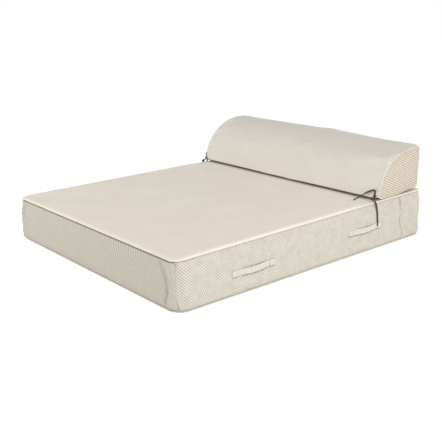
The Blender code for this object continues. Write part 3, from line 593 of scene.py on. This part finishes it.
def woven(name, dark, light, along_pitch, up_pitch, slant, wobble, seam_shade=0.0, plain_from=9.0):
    """A basket weave drawn from two crossed rows of floats; slant leans the rows, wobble makes them wander.
    Painted shade darkens the top seam's crease by seam_shade, and the rows are lost past plain_from along the run."""
    material, shader = new_material(name, 0.85, Sheen_Weight=0.1, Sheen_Roughness=0.6)
    place = add_node(material, "TexCoord")
    drift = add_node(material, "TexNoise", {"Vector": (place, "UV"), "Scale": 9.0, "Detail": 1.0})
    parts = add_node(material, "SeparateXYZ", {"Vector": (place, "UV")})
    lean = add_node(material, "Math", {0: (parts, "Y"), 1: slant, 2: (parts, "X")}, operation="MULTIPLY_ADD")
    wander = add_node(material, "Math", {0: (drift, "Fac"), 1: wobble, 2: (lean, 0)}, operation="MULTIPLY_ADD")
    turned = add_node(material, "Math", {0: (wander, 0), 1: math.tau / along_pitch}, operation="MULTIPLY")
    wave_a = add_node(material, "Math", {0: (turned, 0)}, operation="SINE")
    if up_pitch:
        stray = add_node(material, "Math", {0: (drift, "Fac"), 1: -wobble, 2: (parts, "Y")},
                         operation="MULTIPLY_ADD")
        upright = add_node(material, "Math", {0: (stray, 0), 1: math.tau / up_pitch}, operation="MULTIPLY")
        wave_b = add_node(material, "Math", {0: (upright, 0)}, operation="SINE")
        crossed = add_node(material, "Math", {0: (wave_a, 0), 1: (wave_b, 0)}, operation="MULTIPLY")
    else:
        crossed = wave_a
    plain = add_node(material, "MapRange", {"Value": (parts, "X"), "From Min": plain_from,
                                            "From Max": plain_from + 0.16, "To Min": 0.5, "To Max": 0.12})
    patches = add_node(material, "TexNoise", {"Vector": (place, "UV"), "Scale": PATCH_SCALE, "Detail": 2.0})
    base = add_node(material, "MapRange", {"Value": (patches, "Fac"), "From Min": 0.3, "From Max": 0.7,
                                           "To Min": 0.42, "To Max": 0.58})
    level = add_node(material, "Math", {0: (crossed, 0), 1: (plain, 0), 2: (base, 0)}, operation="MULTIPLY_ADD")
    yarn = add_node(material, "TexWave", {"Vector": (place, "UV"), "Scale": YARN_SCALE, "Distortion": 1.5,
                                          "Detail": 2.0, "Detail Scale": 0.5}, bands_direction="DIAGONAL")
    level = add_node(material, "Math", {0: (yarn, "Fac"), 1: YARN_SHARE, 2: (level, 0)}, operation="MULTIPLY_ADD")
    colour = two_tone(material, (level, 0), dark, light, (YARN_SHARE / 2, 1.0 + YARN_SHARE / 2))
    # Painted shade in the crease of the top seam, darkest from 3 mm below it.
    if seam_shade:
        crease_shade_mask = add_node(material, "MapRange",
                            {"Value": (parts, "Y"), "From Min": TOP_SEAM_HEIGHT - CREASE_SHADE_FROM,
                             "From Max": TOP_SEAM_HEIGHT - CREASE_SHADE_FULL, "To Max": seam_shade})
        shaded = add_node(material, "Mix", {"Factor": (crease_shade_mask, 0), 6: colour, 7: linear(CREASE_SHADE_TONE)},
                          data_type="RGBA")
        colour = (shaded, 2)
    plug_in(material, shader, colour, (level, 0), 0.6, 0.0012)
    return material


# Textured polyester of the side bands: pale floats over a darker ground. A real float is about 2 mm; the sides'
# basket weave is drawn at 16 mm a repeat and the foot's slanting rib at 22 mm, so that they show in the picture.
side_cloth = woven("basket_woven_polyester_sides", "#A49C90", "#EDE8DC", 0.0160, 0.0160, 0.0, 0.006, 0.15)
# The foot's copy of the cloth is painted darker than the sides': painted shade for the foot face, which gets less
# light. Its top seam crease gets the stronger painted shade.
end_cloth = woven("basket_woven_polyester_foot_shaded", "#BAB4A8", "#D3CEC2", 0.022, None, 0.40, 0.028, 0.85, 1.36)

top_panel, top_inset = flat_panel("mattress_top_cloth", TOP_RINGS, smooth_cloth, False)
base_panel = flat_panel("mattress_bottom_cloth", BASE_RINGS, base_cloth, True)[0]

right_line = lines_y[lines_y <= REAR_SEAM_Y + 1e-6]
rear_wrap = lines_y[lines_y >= REAR_SEAM_Y - 1e-6]


def joined(*runs):
    """Runs of places one after the other, each shared corner place once."""
    return [np.concatenate([runs[0][axis]] + [run[axis][1:] for run in runs[1:]]) for axis in (0, 1)]


bands = {
    "right": side_band("mattress_right_side_cloth", band_line(right_line, sign_x=1), side_cloth),
    "rear": side_band("mattress_head_side_cloth",
                      joined(band_line(rear_wrap, sign_x=1), band_line(lines_x[::-1], sign_y=1),
                             band_line(rear_wrap[::-1], sign_x=-1)), side_cloth, window_rise=ZIP_BAND_RISE),
    "left": side_band("mattress_left_side_cloth", band_line(right_line[::-1], sign_x=-1), side_cloth),
    "foot": side_band("mattress_foot_side_cloth", band_line(lines_x, sign_y=-1), end_cloth),
}

# Pressure within the panel, how far a point may move, and how much larger than its place the cloth is cut.
TOP_PUFF = (1.2, 0.005, 0.004)
BAND_PUFF = (1.5, 0.003, 0.006)
UNDER_BOLSTER_FROM = 0.44
under_bolster = read_points(top_panel)[:, 1] > UNDER_BOLSTER_FROM
puff(top_panel, (top_inset.ravel() < 1e-6) | under_bolster, *TOP_PUFF)
for band in bands.values():
    rows = uv_of(band)
    sewn = (rows[:, 1] < BASE_SEAM_HEIGHT + 1e-4) | (rows[:, 1] > TOP_SEAM_HEIGHT - 1e-4)
    sewn |= (rows[:, 0] < 1e-5) | (rows[:, 0] > rows[:, 0].max() - 1e-5)
    sewn |= in_window(read_points(band), MATTRESS_ZIP_HEIGHT)
    puff(band, sewn, *BAND_PUFF)


# Gathers as (height, wave, reach): they follow each other every 2 pi times the wave, so 85 mm at the foot and 53 mm
# on the sides, and die away over the reach.
LONG_HOLLOW = 0.0022
TOP_GATHERS = 0.0008
FOOT_GATHERS = (0.0010, 0.0135, 0.012)
SIDE_GATHERS = (0.0028, 0.0085, 0.030)


def soften(piece, inset_from_seam, along, amount, extra=0.0, still=1.0, wave=0.0135, reach=0.012):
    """Gathers that run away from the seam, and long hollows of the foam; still is 0 where the cloth is held."""
    points = read_points(piece)
    normals = read_vectors(piece.data.vertex_normals, "vector")
    gather = np.exp(-np.abs(inset_from_seam - 0.012) / reach) * faded(inset_from_seam, 0, 0.006)
    ripple = np.sin(along / wave + 2.5 * grain(points, 0.12, 3)) * (0.55 + 0.45 * grain(points, 0.2, 8))
    long_wave = grain(points, 0.28, 5) * faded(inset_from_seam, 0, 0.06)
    shift = (amount * gather * ripple + LONG_HOLLOW * long_wave) * still + extra
    write_points(piece, points + normals * shift[:, None])


def bump(value, middle, width):
    """1 at the middle, falling smoothly to 0 on both sides."""
    return np.exp(-((value - middle) / width) ** 2)


# Beside an upright seam: grooves and ridges as (height, distance, width), the pull of its top corner, the place of
# the folds of the near corner, and the puckers of the other seams, one every 28 mm.
SEAM_RELIEF = ((-0.0036, 0.0, 0.0045), (0.0018, 0.011, 0.005))
CORNER_PULL = 0.0045
FOLD_RELIEF = ((0.0075, 0.0, 0.006), (-0.0085, 0.013, 0.005), (0.0070, 0.027, 0.007))
FOLD_PLACE, FOLD_CURVE, FOLD_FOOT = 0.022, 0.075, 0.034
PUCKER_HEIGHT, PUCKER_TURNS = 0.0015, 225.0


def relief(across, shapes):
    """The sum of grooves and ridges at each distance across them."""
    return sum(height * bump(across, middle, width) for height, middle, width in shapes)


def corner_folds(from_end, below_top, above_base, gathered):
    """The groove and ridge of an upright seam; on its gathered side two folds curve down from the top seam."""
    inside = faded(np.minimum(below_top, above_base), 0.0, 0.012)
    shift = relief(from_end, SEAM_RELIEF) * inside
    shift = shift - CORNER_PULL * np.exp(-np.hypot(from_end, below_top - 0.012) / 0.012) * inside
    if gathered:
        across = from_end - FOLD_PLACE - FOLD_CURVE * np.exp(-below_top / 0.050)
        across = across - FOLD_FOOT * faded(above_base, 0.12, 0.0)
        return shift + relief(across, FOLD_RELIEF) * faded(below_top, 0.004, 0.03) * inside
    return shift + PUCKER_HEIGHT * np.sin(above_base * PUCKER_TURNS) * bump(from_end, 0.013, 0.011) * inside


points = read_points(top_panel)
free = 1 - faded(points[:, 1], 0.34, UNDER_BOLSTER_FROM)
crown = CROWN * free * (1 - (points[:, 0] / MATTRESS_HALF_WIDTH) ** 2) * faded(top_inset.ravel(), 0.02, 0.3)
points[:, 2] += crown
write_points(top_panel, points)
soften(top_panel, np.where(under_bolster, 0.0, top_inset.ravel()), points[:, 0] + points[:, 1], TOP_GATHERS)
for name, band in bands.items():
    rows = uv_of(band)
    above_base, below_top = rows[:, 1] - BASE_SEAM_HEIGHT, TOP_SEAM_HEIGHT - rows[:, 1]
    from_end = np.minimum(rows[:, 0], rows[:, 0].max() - rows[:, 0])
    folds = corner_folds(from_end, below_top, above_base, name == "foot")
    amount, wave, reach = FOOT_GATHERS if name == "foot" else SIDE_GATHERS
    soften(band, np.where(below_top < 0.13, below_top, above_base), rows[:, 0], amount, folds,
           faded(from_end, 0.0, 0.025), wave, reach)


def spread(points):
    """The right side of the foam bellies out toward the floor, and its rear corner is full higher up."""
    x, y, z = points.T.copy()
    points[:, 0] += BASE_SPREAD * (1 - faded(z, 0.010, 0.130)) * faded(x, 0.30, 0.80)
    full = REAR_CORNER_FULL * faded(x, 0.71, 0.79) * faded(y, 0.88, 0.98) * bump(z, 0.190, 0.075)
    points[:, :2] += full[:, None] * np.array((0.65, 0.76))
    return points


for piece, node, slot_name in ((top_panel, "mattress_top_panel", "smooth_cloth"),
                               (base_panel, "mattress_bottom_panel", "smooth_cloth"),
                               (bands["right"], "mattress_right_band", "woven_cloth"),
                               (bands["rear"], "mattress_rear_band", "woven_cloth"),
                               (bands["left"], "mattress_left_band", "woven_cloth"),
                               (bands["foot"], "mattress_foot_band", "woven_cloth")):
    write_points(piece, raised(spread(read_points(piece))))
    thicken(piece)
    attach(piece, "mattress")
    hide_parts(node)


# The bolster cover: a smooth curved panel, a back, a sole and two quarter-round textured ends.
# The same polyester over foam, fuller in the middle and drawn in at the end seams, with piping round the ends.
# The photo shows a used one: its front edge is lifted, its right third has sunk, its rear right corner stands off.
BOLSTER_FRONT = 0.533
BOLSTER_DEPTH = 0.415
BOLSTER_HEIGHT = 0.306
BOLSTER_NOSE = 0.335
BOLSTER_BACK_ROUND = 0.018
BACK_ROUNDING = ((0.62, 0.08), (0.3, 0.3), (0.08, 0.62))
BOLSTER_LIFT = 0.016
BOLSTER_SOLE_START = 0.060
BOLSTER_SOLE = 0.2855
BOLSTER_ZIP_HEIGHT = 0.105
END_SIZES = {1: 0.940, -1: 0.990}
END_BULGE = 0.020
TOP_SAG = 0.013
REAR_LIFT = 0.018
SECTION_MIDDLE = (0.55, 0.42)
END_SEAM_REACH = 0.016
PIPING = ((1.0, 0.0), (1.0095, 0.0006), (1.0145, 0.0024), (1.0135, 0.0046), (1.006, 0.0062), (0.998, 0.0058))
PIPING_FALL = 0.0045
END_RINGS = (0.992, 0.98, 0.965, 0.945, 0.92, 0.88, 0.83, 0.77, 0.70, 0.62, 0.53, 0.44, 0.35, 0.26, 0.17, 0.08)
PLEAT_HEIGHT, PLEAT_TURNS = 0.0028, 280
BOLSTER_PUFFS = (("curved", (1.6, 0.012, 0.006)), ("back", (1.2, 0.006, 0.006)))
BOLSTER_GATHERS = 0.0007


def bolster_run(part):
    """Places along one part of the section, as (back from the front edge, up)."""
    depth, height, rounding = BOLSTER_DEPTH, BOLSTER_HEIGHT, BOLSTER_BACK_ROUND
    front = (BOLSTER_LIFT / 3, BOLSTER_LIFT)
    upper_corner = [(depth - rounding * back, height - rounding * down) for back, down in BACK_ROUNDING]
    lower_corner = [(depth - rounding * back, rounding * up) for up, back in BACK_ROUNDING]
    if part == "curved":
        turn = np.radians(np.linspace(4, 90, 58))
        run = [front] + list(zip(BOLSTER_NOSE * (1 - np.cos(turn)), height * np.sin(turn)))
        run += [(x, height) for x in np.linspace(BOLSTER_NOSE, depth - rounding, 9)[1:]] + upper_corner[:2]
    elif part == "back":
        run = upper_corner[1:]
        levels = set(np.round(np.linspace(rounding, height - rounding, 28), 4))
        levels = set(z for z in levels if abs(z - BOLSTER_ZIP_HEIGHT) > ZIP_HALF_OPENING + 0.003)
        levels |= {BOLSTER_ZIP_HEIGHT - ZIP_HALF_OPENING, BOLSTER_ZIP_HEIGHT + ZIP_HALF_OPENING}
        run += [(depth, z) for z in sorted(levels, reverse=True)] + lower_corner[:2]
    else:
        run = lower_corner[1:] + [(x, 0.0) for x in np.linspace(depth - rounding, BOLSTER_SOLE_START, 30)]
        run += [(x, BOLSTER_LIFT * (1 - x / BOLSTER_SOLE_START) ** 2) for x in (0.045, 0.03, 0.018, 0.008)] + [front]
    return np.array(run)


def bolster_place(x, size, run):
    """Points of a section run at each x, drawn in toward the middle of the section by the size there."""
    back = BOLSTER_DEPTH * SECTION_MIDDLE[0]
    up = BOLSTER_HEIGHT * SECTION_MIDDLE[1]
    y = BOLSTER_FRONT + back + (run[None, :, 0] - back) * size[:, None]
    z = BOLSTER_SOLE + up + (run[None, :, 1] - up) * size[:, None]
    return np.stack([x[:, None] + 0 * y, y, z], -1)


def settled(points):
    """The rise of each point of the used bolster: its right third has sunk, its rear right corner stands off."""
    x, y, z = points[..., 0], points[..., 1], points[..., 2]
    sunk = TOP_SAG * faded(x, 0.10, 0.60) * faded(z, 0.44, 0.60) * faded(y, 0.56, 0.80)
    return REAR_LIFT * faded(x, 0.50, 0.78) * faded(y, 0.66, 0.93) * (1 - faded(z, 0.31, 0.375)) - sunk


bolster_x = lines_x
from_end = MATTRESS_HALF_WIDTH - np.abs(bolster_x)
end_size = np.where(bolster_x > 0, END_SIZES[1], END_SIZES[-1])
bolster_size = 1 - (1 - end_size) * np.exp(-from_end / END_SEAM_REACH)
bolster_parts = {}
# The canvas of the bolster is the mattress's, made greyer as painted shade for its less lit top. Its piping is paler
# canvas.
bolster_shaded_cloth = canvas("smooth_polyester_canvas_bolster_shaded", "#E0DBD1", "#E7E1D8")
piping_cloth = canvas("polyester_piping", "#EDE6DA", "#F3ECE0")


def one_texture(name, roughness, kind, scale, tones, strength, distance, output="Fac", detail=None, **sockets):
    """A finish whose one texture, lying on the piece itself, gives both its tone and its relief."""
    material, shader = new_material(name, roughness, **sockets)
    place = add_node(material, "TexCoord")
    inputs = {"Vector": (place, "Object"), "Scale": scale}
    if detail is not None:
        inputs["Detail"] = detail
    texture = add_node(material, kind, inputs)
    plug_in(material, shader, two_tone(material, (texture, output), *tones), (texture, output), strength, distance)
    return material


# The sole is guessed as polyester with non-slip nubs, drawn 6 mm apart, made dark brown so that it deepens the shade
# in the crevice under the front edge: the dark brown line all along that edge is shade, darkened by this dark sheet.
sole_cloth = one_texture("brown_non_slip_polyester_for_crevice_shade", 0.85, "TexVoronoi", 170.0, ("#3D2F23", "#261C14"),
                         0.5, 0.0010, "Distance")
for part, material in (("curved", bolster_shaded_cloth), ("back", bolster_shaded_cloth), ("sole", sole_cloth)):
    run = bolster_run(part)
    points = bolster_place(bolster_x, bolster_size, run)
    points[..., 2] += settled(points)
    walked = np.concatenate([[0], np.cumsum(np.hypot(*np.diff(run, axis=0).T))])
    uvs = np.stack([points[..., 0], walked[None, :] + 0 * points[..., 0]], -1)
    window = BOLSTER_SOLE + BOLSTER_ZIP_HEIGHT if part == "back" else None
    bolster_parts[part] = grid_piece(f"bolster_{part}_cloth", points, uvs, material, window=window)

# Textured polyester of the ends: a slanting rib in a warmer tone, drawn coarser than it is, at 14.5 mm a repeat.
end_rib = woven("rib_woven_polyester_ends", "#B2A590", "#E5DBCC", 0.0145, None, 0.0, 0.014)
whole_run = np.concatenate([bolster_run("curved"), bolster_run("back")[1:], bolster_run("sole")[1:-1]])
for word, side in SIDES:
    piping_sizes, piping_outs = zip(*PIPING)
    sizes = END_SIZES[side] * np.array(piping_sizes + END_RINGS)
    out = END_BULGE * (1 - np.minimum(sizes / END_SIZES[side], 1) ** 7)
    out[:len(PIPING)] = piping_outs
    out[len(PIPING):] += PIPING_FALL * np.exp(-np.arange(len(END_RINGS)) / 1.5)
    x = side * (MATTRESS_HALF_WIDTH + out)
    points = bolster_place(x, sizes, whole_run)
    points[..., 2] += settled(points)
    rings, around = points.shape[:2]
    faces = tube_faces(rings, around)[:-2]
    faces.append(tuple(range((rings - 1) * around, rings * around)))
    uvs = np.stack([points[..., 2] + 0.45 * points[..., 1], points[..., 1]], -1)
    end = new_mesh(f"bolster_end_cloth_{word}", points.reshape(-1, 3), faces, uvs.reshape(-1, 2), end_rib)
    end.data.materials.append(piping_cloth)
    for face in end.data.polygons[:(len(PIPING) - 1) * around]:
        face.material_index = 1
    outward(end)
    bolster_parts[word] = end

for part, puff_facts in BOLSTER_PUFFS:
    piece = bolster_parts[part]
    rows = uv_of(piece)
    sewn = np.abs(rows[:, 0]) > MATTRESS_HALF_WIDTH - 1e-5
    sewn |= (rows[:, 1] < 1e-6) | (rows[:, 1] > rows[:, 1].max() - 1e-6)
    sewn |= in_window(read_points(piece), BOLSTER_SOLE + BOLSTER_ZIP_HEIGHT)
    puff(piece, sewn, *puff_facts)
    if part == "curved":
        pleated = faded(rows[:, 0], 0.50, 0.60) * (1 - faded(rows[:, 0], 0.74, 0.79))
        pleats = np.sin(rows[:, 0] * PLEAT_TURNS + 3 * grain(read_points(piece), 0.1, 4)) * pleated
        pleats = PLEAT_HEIGHT * pleats * bump(rows[:, 1], 0.034, 0.024)
        soften(piece, np.minimum(rows[:, 1], MATTRESS_HALF_WIDTH - np.abs(rows[:, 0])),
               np.where(rows[:, 1] < 0.08, rows[:, 0], rows[:, 1]), BOLSTER_GATHERS, pleats)

for part, node, slot_name in (("curved", "bolster_curved_panel", "smooth_cloth"),
                              ("back", "bolster_back_panel", "smooth_cloth"),
                              ("sole", "bolster_bottom_panel", "smooth_cloth"),
                              ("right", "bolster_right_end", "woven_cloth"),
                              ("left", "bolster_left_end", "woven_cloth")):
    piece = bolster_parts[part]
    write_points(piece, raised(read_points(piece)))
    thicken(piece)
    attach(piece, "bolster")
    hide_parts(node)


# The foam: open-cell polyurethane, cut to shape and pale cream. It fills the covers and shows nowhere, so it takes
# the shapes of the CAD solids, drawn in under the cloth. Its pores are drawn 2.5 mm apart.
FOAM_INSET = 0.015
foam_cells = one_texture("open_cell_polyurethane_foam", 0.95, "TexVoronoi", 400.0, ("#E3D9BE", "#EFE8D2"),
                         0.5, 0.0008, "Distance")
for node, body in (("mattress_foam_core", "mattress"), ("bolster_foam_core", "bolster")):
    foam = frame["nodes"][node].copy()
    foam.data = frame["nodes"][node].data.copy()
    bpy.context.scene.collection.objects.link(foam)
    foam.parent = None
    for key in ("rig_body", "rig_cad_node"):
        del foam[key]
    foam.name = node.replace("_core", "_block")
    foam.data.materials.clear()
    foam.data.materials.append(foam_cells)
    select_only(foam)
    bpy.ops.object.mode_set(mode="EDIT")
    bpy.ops.mesh.select_all(action="SELECT")
    bpy.ops.mesh.remove_doubles(threshold=0.00001)
    bpy.ops.transform.shrink_fatten(value=-FOAM_INSET)
    bpy.ops.object.mode_set(mode="OBJECT")
    if body == "bolster":
        points = read_points(foam)
        points[:, 2] += settled(points)
        write_points(foam, points)
    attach(foam, body)
    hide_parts(node)


# Carry handles: cream polypropylene webbing, 40 mm wide. Both ends are folded under and sewn with a boxed cross.
# The free part between them bows out a little and sags. A handle is given as (name, place along the side, height).
WEBBING_WIDTH = 0.040
WEBBING_THICKNESS = 0.0017
HANDLE_FACE = 0.8112
HANDLE_BOW = 0.010
HANDLE_SAG = 0.002
HANDLE_RIPPLE = 0.0017
FREE_HALF = 0.112
SEWN_ENDS = ((-0.1455, -0.1155), (0.1155, 0.1455))
BOX_HALF_HEIGHT = 0.016
HANDLES = (("foot", -0.493, 0.121), ("head", 0.421, 0.139))
# The tone of the painted shadow on the webbing's lower edge.
HANDLE_SHADOW_TONE = "#7D745F"
# The webbing has a rib across it, drawn every 3.5 mm, and painted shadow on its lower edge for the shade under it.
webbing_cloth, webbing_shader = new_material("cream_polypropylene_webbing", 0.62, Sheen_Weight=0.1)
webbing_uv = add_node(webbing_cloth, "TexCoord")
webbing_rib = add_node(webbing_cloth, "TexWave", {"Vector": (webbing_uv, "UV"), "Scale": 90.0, "Distortion": 0.6,
                                                  "Detail": 1.0}, bands_direction="X")
webbing_tone = two_tone(webbing_cloth, (webbing_rib, "Fac"), "#D7D0C2", "#E6E2D7", (0.1, 0.9))
webbing_height = add_node(webbing_cloth, "SeparateXYZ", {"Vector": (webbing_uv, "UV")})
# Painted shadow: the lower edge of the webbing darkens toward that tone.
webbing_painted_shadow = add_node(webbing_cloth, "MapRange", {"Value": (webbing_height, "Y"), "From Min": -0.0175,
                                                    "From Max": -0.0110, "To Min": 0.85, "To Max": 0.0})
webbing_colour = add_node(webbing_cloth, "Mix", {"Factor": (webbing_painted_shadow, 0), 6: webbing_tone,
                                                 7: linear(HANDLE_SHADOW_TONE)}, data_type="RGBA")
plug_in(webbing_cloth, webbing_shader, (webbing_colour, 2), (webbing_rib, "Fac"), 0.5, 0.0007)
# The thread is twisted bonded polyester, half shiny and a little darker than the webbing.
sewing_thread = one_texture("cream_polyester_thread", 0.5, "TexNoise", 900.0, ("#CBBFA8", "#E4DAC6"), 0.3, 0.0002)


def stitches(name, runs, outward_axis, length=0.0036, gap=0.0012, width=0.0007):
    """Lock stitches along straight runs of points: each a small rounded bar, all in one piece."""
    points, faces = [], []
    for start, end in runs:
        start, end = Vector(start), Vector(end)
        along = (end - start).normalized()
        across = along.cross(outward_axis).normalized() * width / 2
        lift = Vector(outward_axis) * width / 2
        walked = gap
        while walked + length < (end - start).length:
            near, far = start + along * walked, start + along * (walked + length)
            middle = (near + far) / 2
            first = len(points)
            points += [near, far, middle + across, middle - across, middle + lift * 1.4, middle - lift]
            faces += [(first + a, first + b, first + c) for a, b, c in
                      ((0, 2, 4), (2, 1, 4), (1, 3, 4), (3, 0, 4), (2, 0, 5), (1, 2, 5), (3, 1, 5), (0, 3, 5))]
            walked += length + gap
    made = new_mesh(name, points, faces, None, sewing_thread)
    outward(made)
    return made


for word, side in SIDES:
    for end, middle, height in HANDLES:
        low = HANDLE_FACE + WEBBING_THICKNESS / 2
        high = low + WEBBING_THICKNESS + 0.0003
        fold = (low + high) / 2
        sewn_end = [(high, 0.112), (high, 0.130), (high, 0.1475), (fold, 0.1492), (low, 0.1475), (low, 0.130),
                    (low, 0.1125), (low + 0.0012, 0.106)]
        run = [(x, -y) for x, y in sewn_end]
        for share in np.linspace(-0.9, 0.9, 37):
            bow = HANDLE_BOW * math.cos(share * math.pi / 2) ** 1.4
            run.append((low + bow + HANDLE_RIPPLE * math.sin(share * 25.0), share * FREE_HALF))
        route = []
        for x, y in run + sewn_end[::-1]:
            sag = HANDLE_SAG * math.cos(min(abs(y) / FREE_HALF, 1) * math.pi / 2) ** 2
            route.append((side * x, middle + y, height - sag))
        strap = woven_tape(f"handle_webbing_{word}_{end}", raised(route), [Vector((0, 0, 1))] * len(route),
                           WEBBING_WIDTH, WEBBING_THICKNESS, 2, webbing_cloth)[0]
        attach(strap, "mattress")
        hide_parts(f"handle_{word}_{end}")
        runs = []
        for near, far in SEWN_ENDS:
            x = side * (high + WEBBING_THICKNESS / 2)
            box = [Vector(p) for p in raised([(x, middle + y, height + z * BOX_HALF_HEIGHT)
                                              for y, z in ((near, -1), (far, -1), (far, 1), (near, 1))])]
            runs += [(box[a], box[b]) for a, b in ((0, 1), (1, 2), (2, 3), (3, 0), (0, 2), (1, 3))]
        seam = stitches(f"handle_stitches_{word}_{end}", runs, Vector((side, 0, 0)))
        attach(seam, "mattress")


# A tab of the smooth cover cloth comes out of the top seam beside each knot and is folded over the edge. It holds
# the tape. Its route is given as (out from the mattress edge, up from its top).
TAB_WIDTH = 0.016
TAB_THICKNESS = 0.0012
TAB_PLACE_Y = 0.4817
TAB_ROUTE = ((-0.0015, -0.0130), (0.0020, -0.0125), (0.0040, -0.0090), (0.0025, -0.0025), (-0.0030, -0.0002),
             (-0.0120, 0.0007))
for word, side in SIDES:
    places = raised([(side * (MATTRESS_HALF_WIDTH + out), TAB_PLACE_Y, MATTRESS_TOP + up) for out, up in TAB_ROUTE])
    tab = woven_tape(f"tie_tab_cloth_{word}", places, [Vector((0, 1, 0))] * len(places), TAB_WIDTH, TAB_THICKNESS,
                     4, smooth_cloth)[0]
    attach(tab, "mattress")
    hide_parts(f"tie_tab_{word}")


# Nylon coil zips close the head side of the mattress and the back of the bolster: two tapes, each with half a coil.
# The tapes are woven nylon in greyed beige. The turns of the coil are drawn every 2.4 mm across them.
ZIP_SLOT = 0.0014
BEAD_WIDTH = 0.0024
TAPE_BACK, TAPE_FRONT, BEAD_TOP = -0.0020, -0.0009, 0.0003
TAPE_CLEARANCE = 0.0004
BEAD_ROUNDING = 0.0005
ZIP_STEPS = 61
MATTRESS_ZIP_FACE = 1.010
zip_cloth = one_texture("nylon_zip_tape", 0.7, "TexWave", 130.0, ("#A8A294", "#C6C0B2"), 0.6, 0.0006)
for prefix, body, face, height in (("mattress", "mattress", MATTRESS_ZIP_FACE, MATTRESS_ZIP_HEIGHT),
                                   ("bolster", "bolster", BOLSTER_FRONT + BOLSTER_DEPTH,
                                    BOLSTER_SOLE - 0.0002 + BOLSTER_ZIP_HEIGHT)):
    for word, side in (("upper", 1), ("lower", -1)):
        back, front, bead = face + TAPE_BACK, face + TAPE_FRONT, face + BEAD_TOP
        inner, outer, coil = ZIP_SLOT / 2, ZIP_HALF_OPENING - TAPE_CLEARANCE, ZIP_SLOT / 2 + BEAD_WIDTH
        section = ((inner, back), (outer, back), (outer, front), (coil + 0.0004, front), (coil, front + 0.0004),
                   (coil - BEAD_ROUNDING, bead), (inner + BEAD_ROUNDING, bead), (inner, front + 0.0004))
        reach = ZIP_HALF_LENGTH - 0.0005
        rings = [[(x, y, height + side * up) for up, y in section] for x in np.linspace(-reach, reach, ZIP_STEPS)]
        strip = new_mesh(f"{prefix}_zip_{word}_strip", raised(np.array(rings).reshape(-1, 3)),
                         tube_faces(ZIP_STEPS, len(section)), None, zip_cloth)
        outward(strip)
        strip.data.set_sharp_from_angle(angle=math.radians(40))
        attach(strip, body)
        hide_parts(f"{prefix}_zip_{word}_tape")


# Sliders and pulls: die-cast zinc, nickel plated and tumbled. They show their CAD shapes; only the finish is new.
# The plating is worn a little duller in spots, which breaks up its shine.
zip_metal = one_texture("nickel_plated_zinc", 0.3, "TexNoise", 240.0, ("#A9A69F", "#CBC8C1"), 0.15, 0.0001,
                        detail=3.0, Metallic=1.0)
for prefix in ("mattress", "bolster"):
    for word in ("slider", "pull"):
        piece = frame["nodes"][f"{prefix}_zip_{word}"]
        piece.data.materials.clear()
        piece.data.materials.append(zip_metal)


# The floor is a plain pale sheet just under the lounger. The camera sees it white, with the lounger's soft shadow: a
# share of what it sees is an even glow, a little over white so that the floor's own shading doesn't grey it.
FLOOR_SIZE = 60
FLOOR_DROP = 0.0005
FLOOR_SHARE = 0.88
FLOOR_GLOW = 1.09
bpy.ops.mesh.primitive_plane_add(size=FLOOR_SIZE, location=(0, 0, -FLOOR_DROP))
floor = bpy.context.object
floor.name = "floor"
floor_paint, floor_shader = new_material("white_studio_floor", 0.9)
floor_shader.inputs["Base Color"].default_value = linear("#F2F2F0")
ray = add_node(floor_paint, "LightPath")
seen = add_node(floor_paint, "Math", {0: (ray, "Is Camera Ray"), 1: (ray, "Is Glossy Ray")}, operation="MAXIMUM")
seen_through = add_node(floor_paint, "Math", {0: (seen, 0), 1: (ray, "Is Transmission Ray")}, operation="MAXIMUM")
share = add_node(floor_paint, "Math", {0: (seen_through, 0), 1: FLOOR_SHARE}, operation="MULTIPLY")
glow = add_node(floor_paint, "Emission", {"Color": (1, 1, 1, 1), "Strength": FLOOR_GLOW})
blend = add_node(floor_paint, "MixShader", {"Fac": (share, 0), 1: (floor_shader, "BSDF"), 2: (glow, "Emission")})
floor_paint.node_tree.links.new(blend.outputs["Shader"],
                                floor_paint.node_tree.nodes["Material Output"].inputs["Surface"])
floor.data.materials.append(floor_paint)
floor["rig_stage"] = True

# A white studio: an even, faintly warm light from all sides, and pure white where the camera looks past the part.
SKY_STRENGTH = 0.545
BACKDROP_STRENGTH = 1.0
world = bpy.data.worlds.new("white_studio")
bpy.context.scene.world = world
world.use_nodes = True
sky = world.node_tree.nodes["Background"]
sky.inputs["Color"].default_value = linear("#FFFDFA")
sky.inputs["Strength"].default_value = SKY_STRENGTH
backdrop = add_node(world, "Background", {"Color": (1, 1, 1, 1), "Strength": BACKDROP_STRENGTH})
path_kind = add_node(world, "LightPath")
straight = add_node(world, "Math", {0: (path_kind, "Is Camera Ray"), 1: (path_kind, "Is Glossy Ray")},
                    operation="MAXIMUM")
mixed = add_node(world, "MixShader", {"Fac": (straight, 0), 1: (sky, "Background"), 2: (backdrop, "Background")})
world.node_tree.links.new(mixed.outputs["Shader"], world.node_tree.nodes["World Output"].inputs["Surface"])

# Two large softboxes, one beyond the foot and one on the right, each as (name, place, power in watts).
SOFTBOX_SIZE = 3.0
SOFTBOX_AIM = Vector((0, 0, 0.2))
SOFTBOXES = (("left_softbox", (-2.2, -5.5, 2.0), 118), ("right_softbox", (5.6, -0.3, 1.8), 142))
for name, place, power in SOFTBOXES:
    bpy.ops.object.light_add(type="AREA", location=place)
    lamp = bpy.context.object
    lamp.name = name
    lamp.data.size = SOFTBOX_SIZE
    lamp.data.energy = power
    lamp.rotation_mode = "QUATERNION"
    lamp.rotation_quaternion = (SOFTBOX_AIM - Vector(place)).to_track_quat("-Z", "Y")


# The box of the dressed part, without the floor.
low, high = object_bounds()
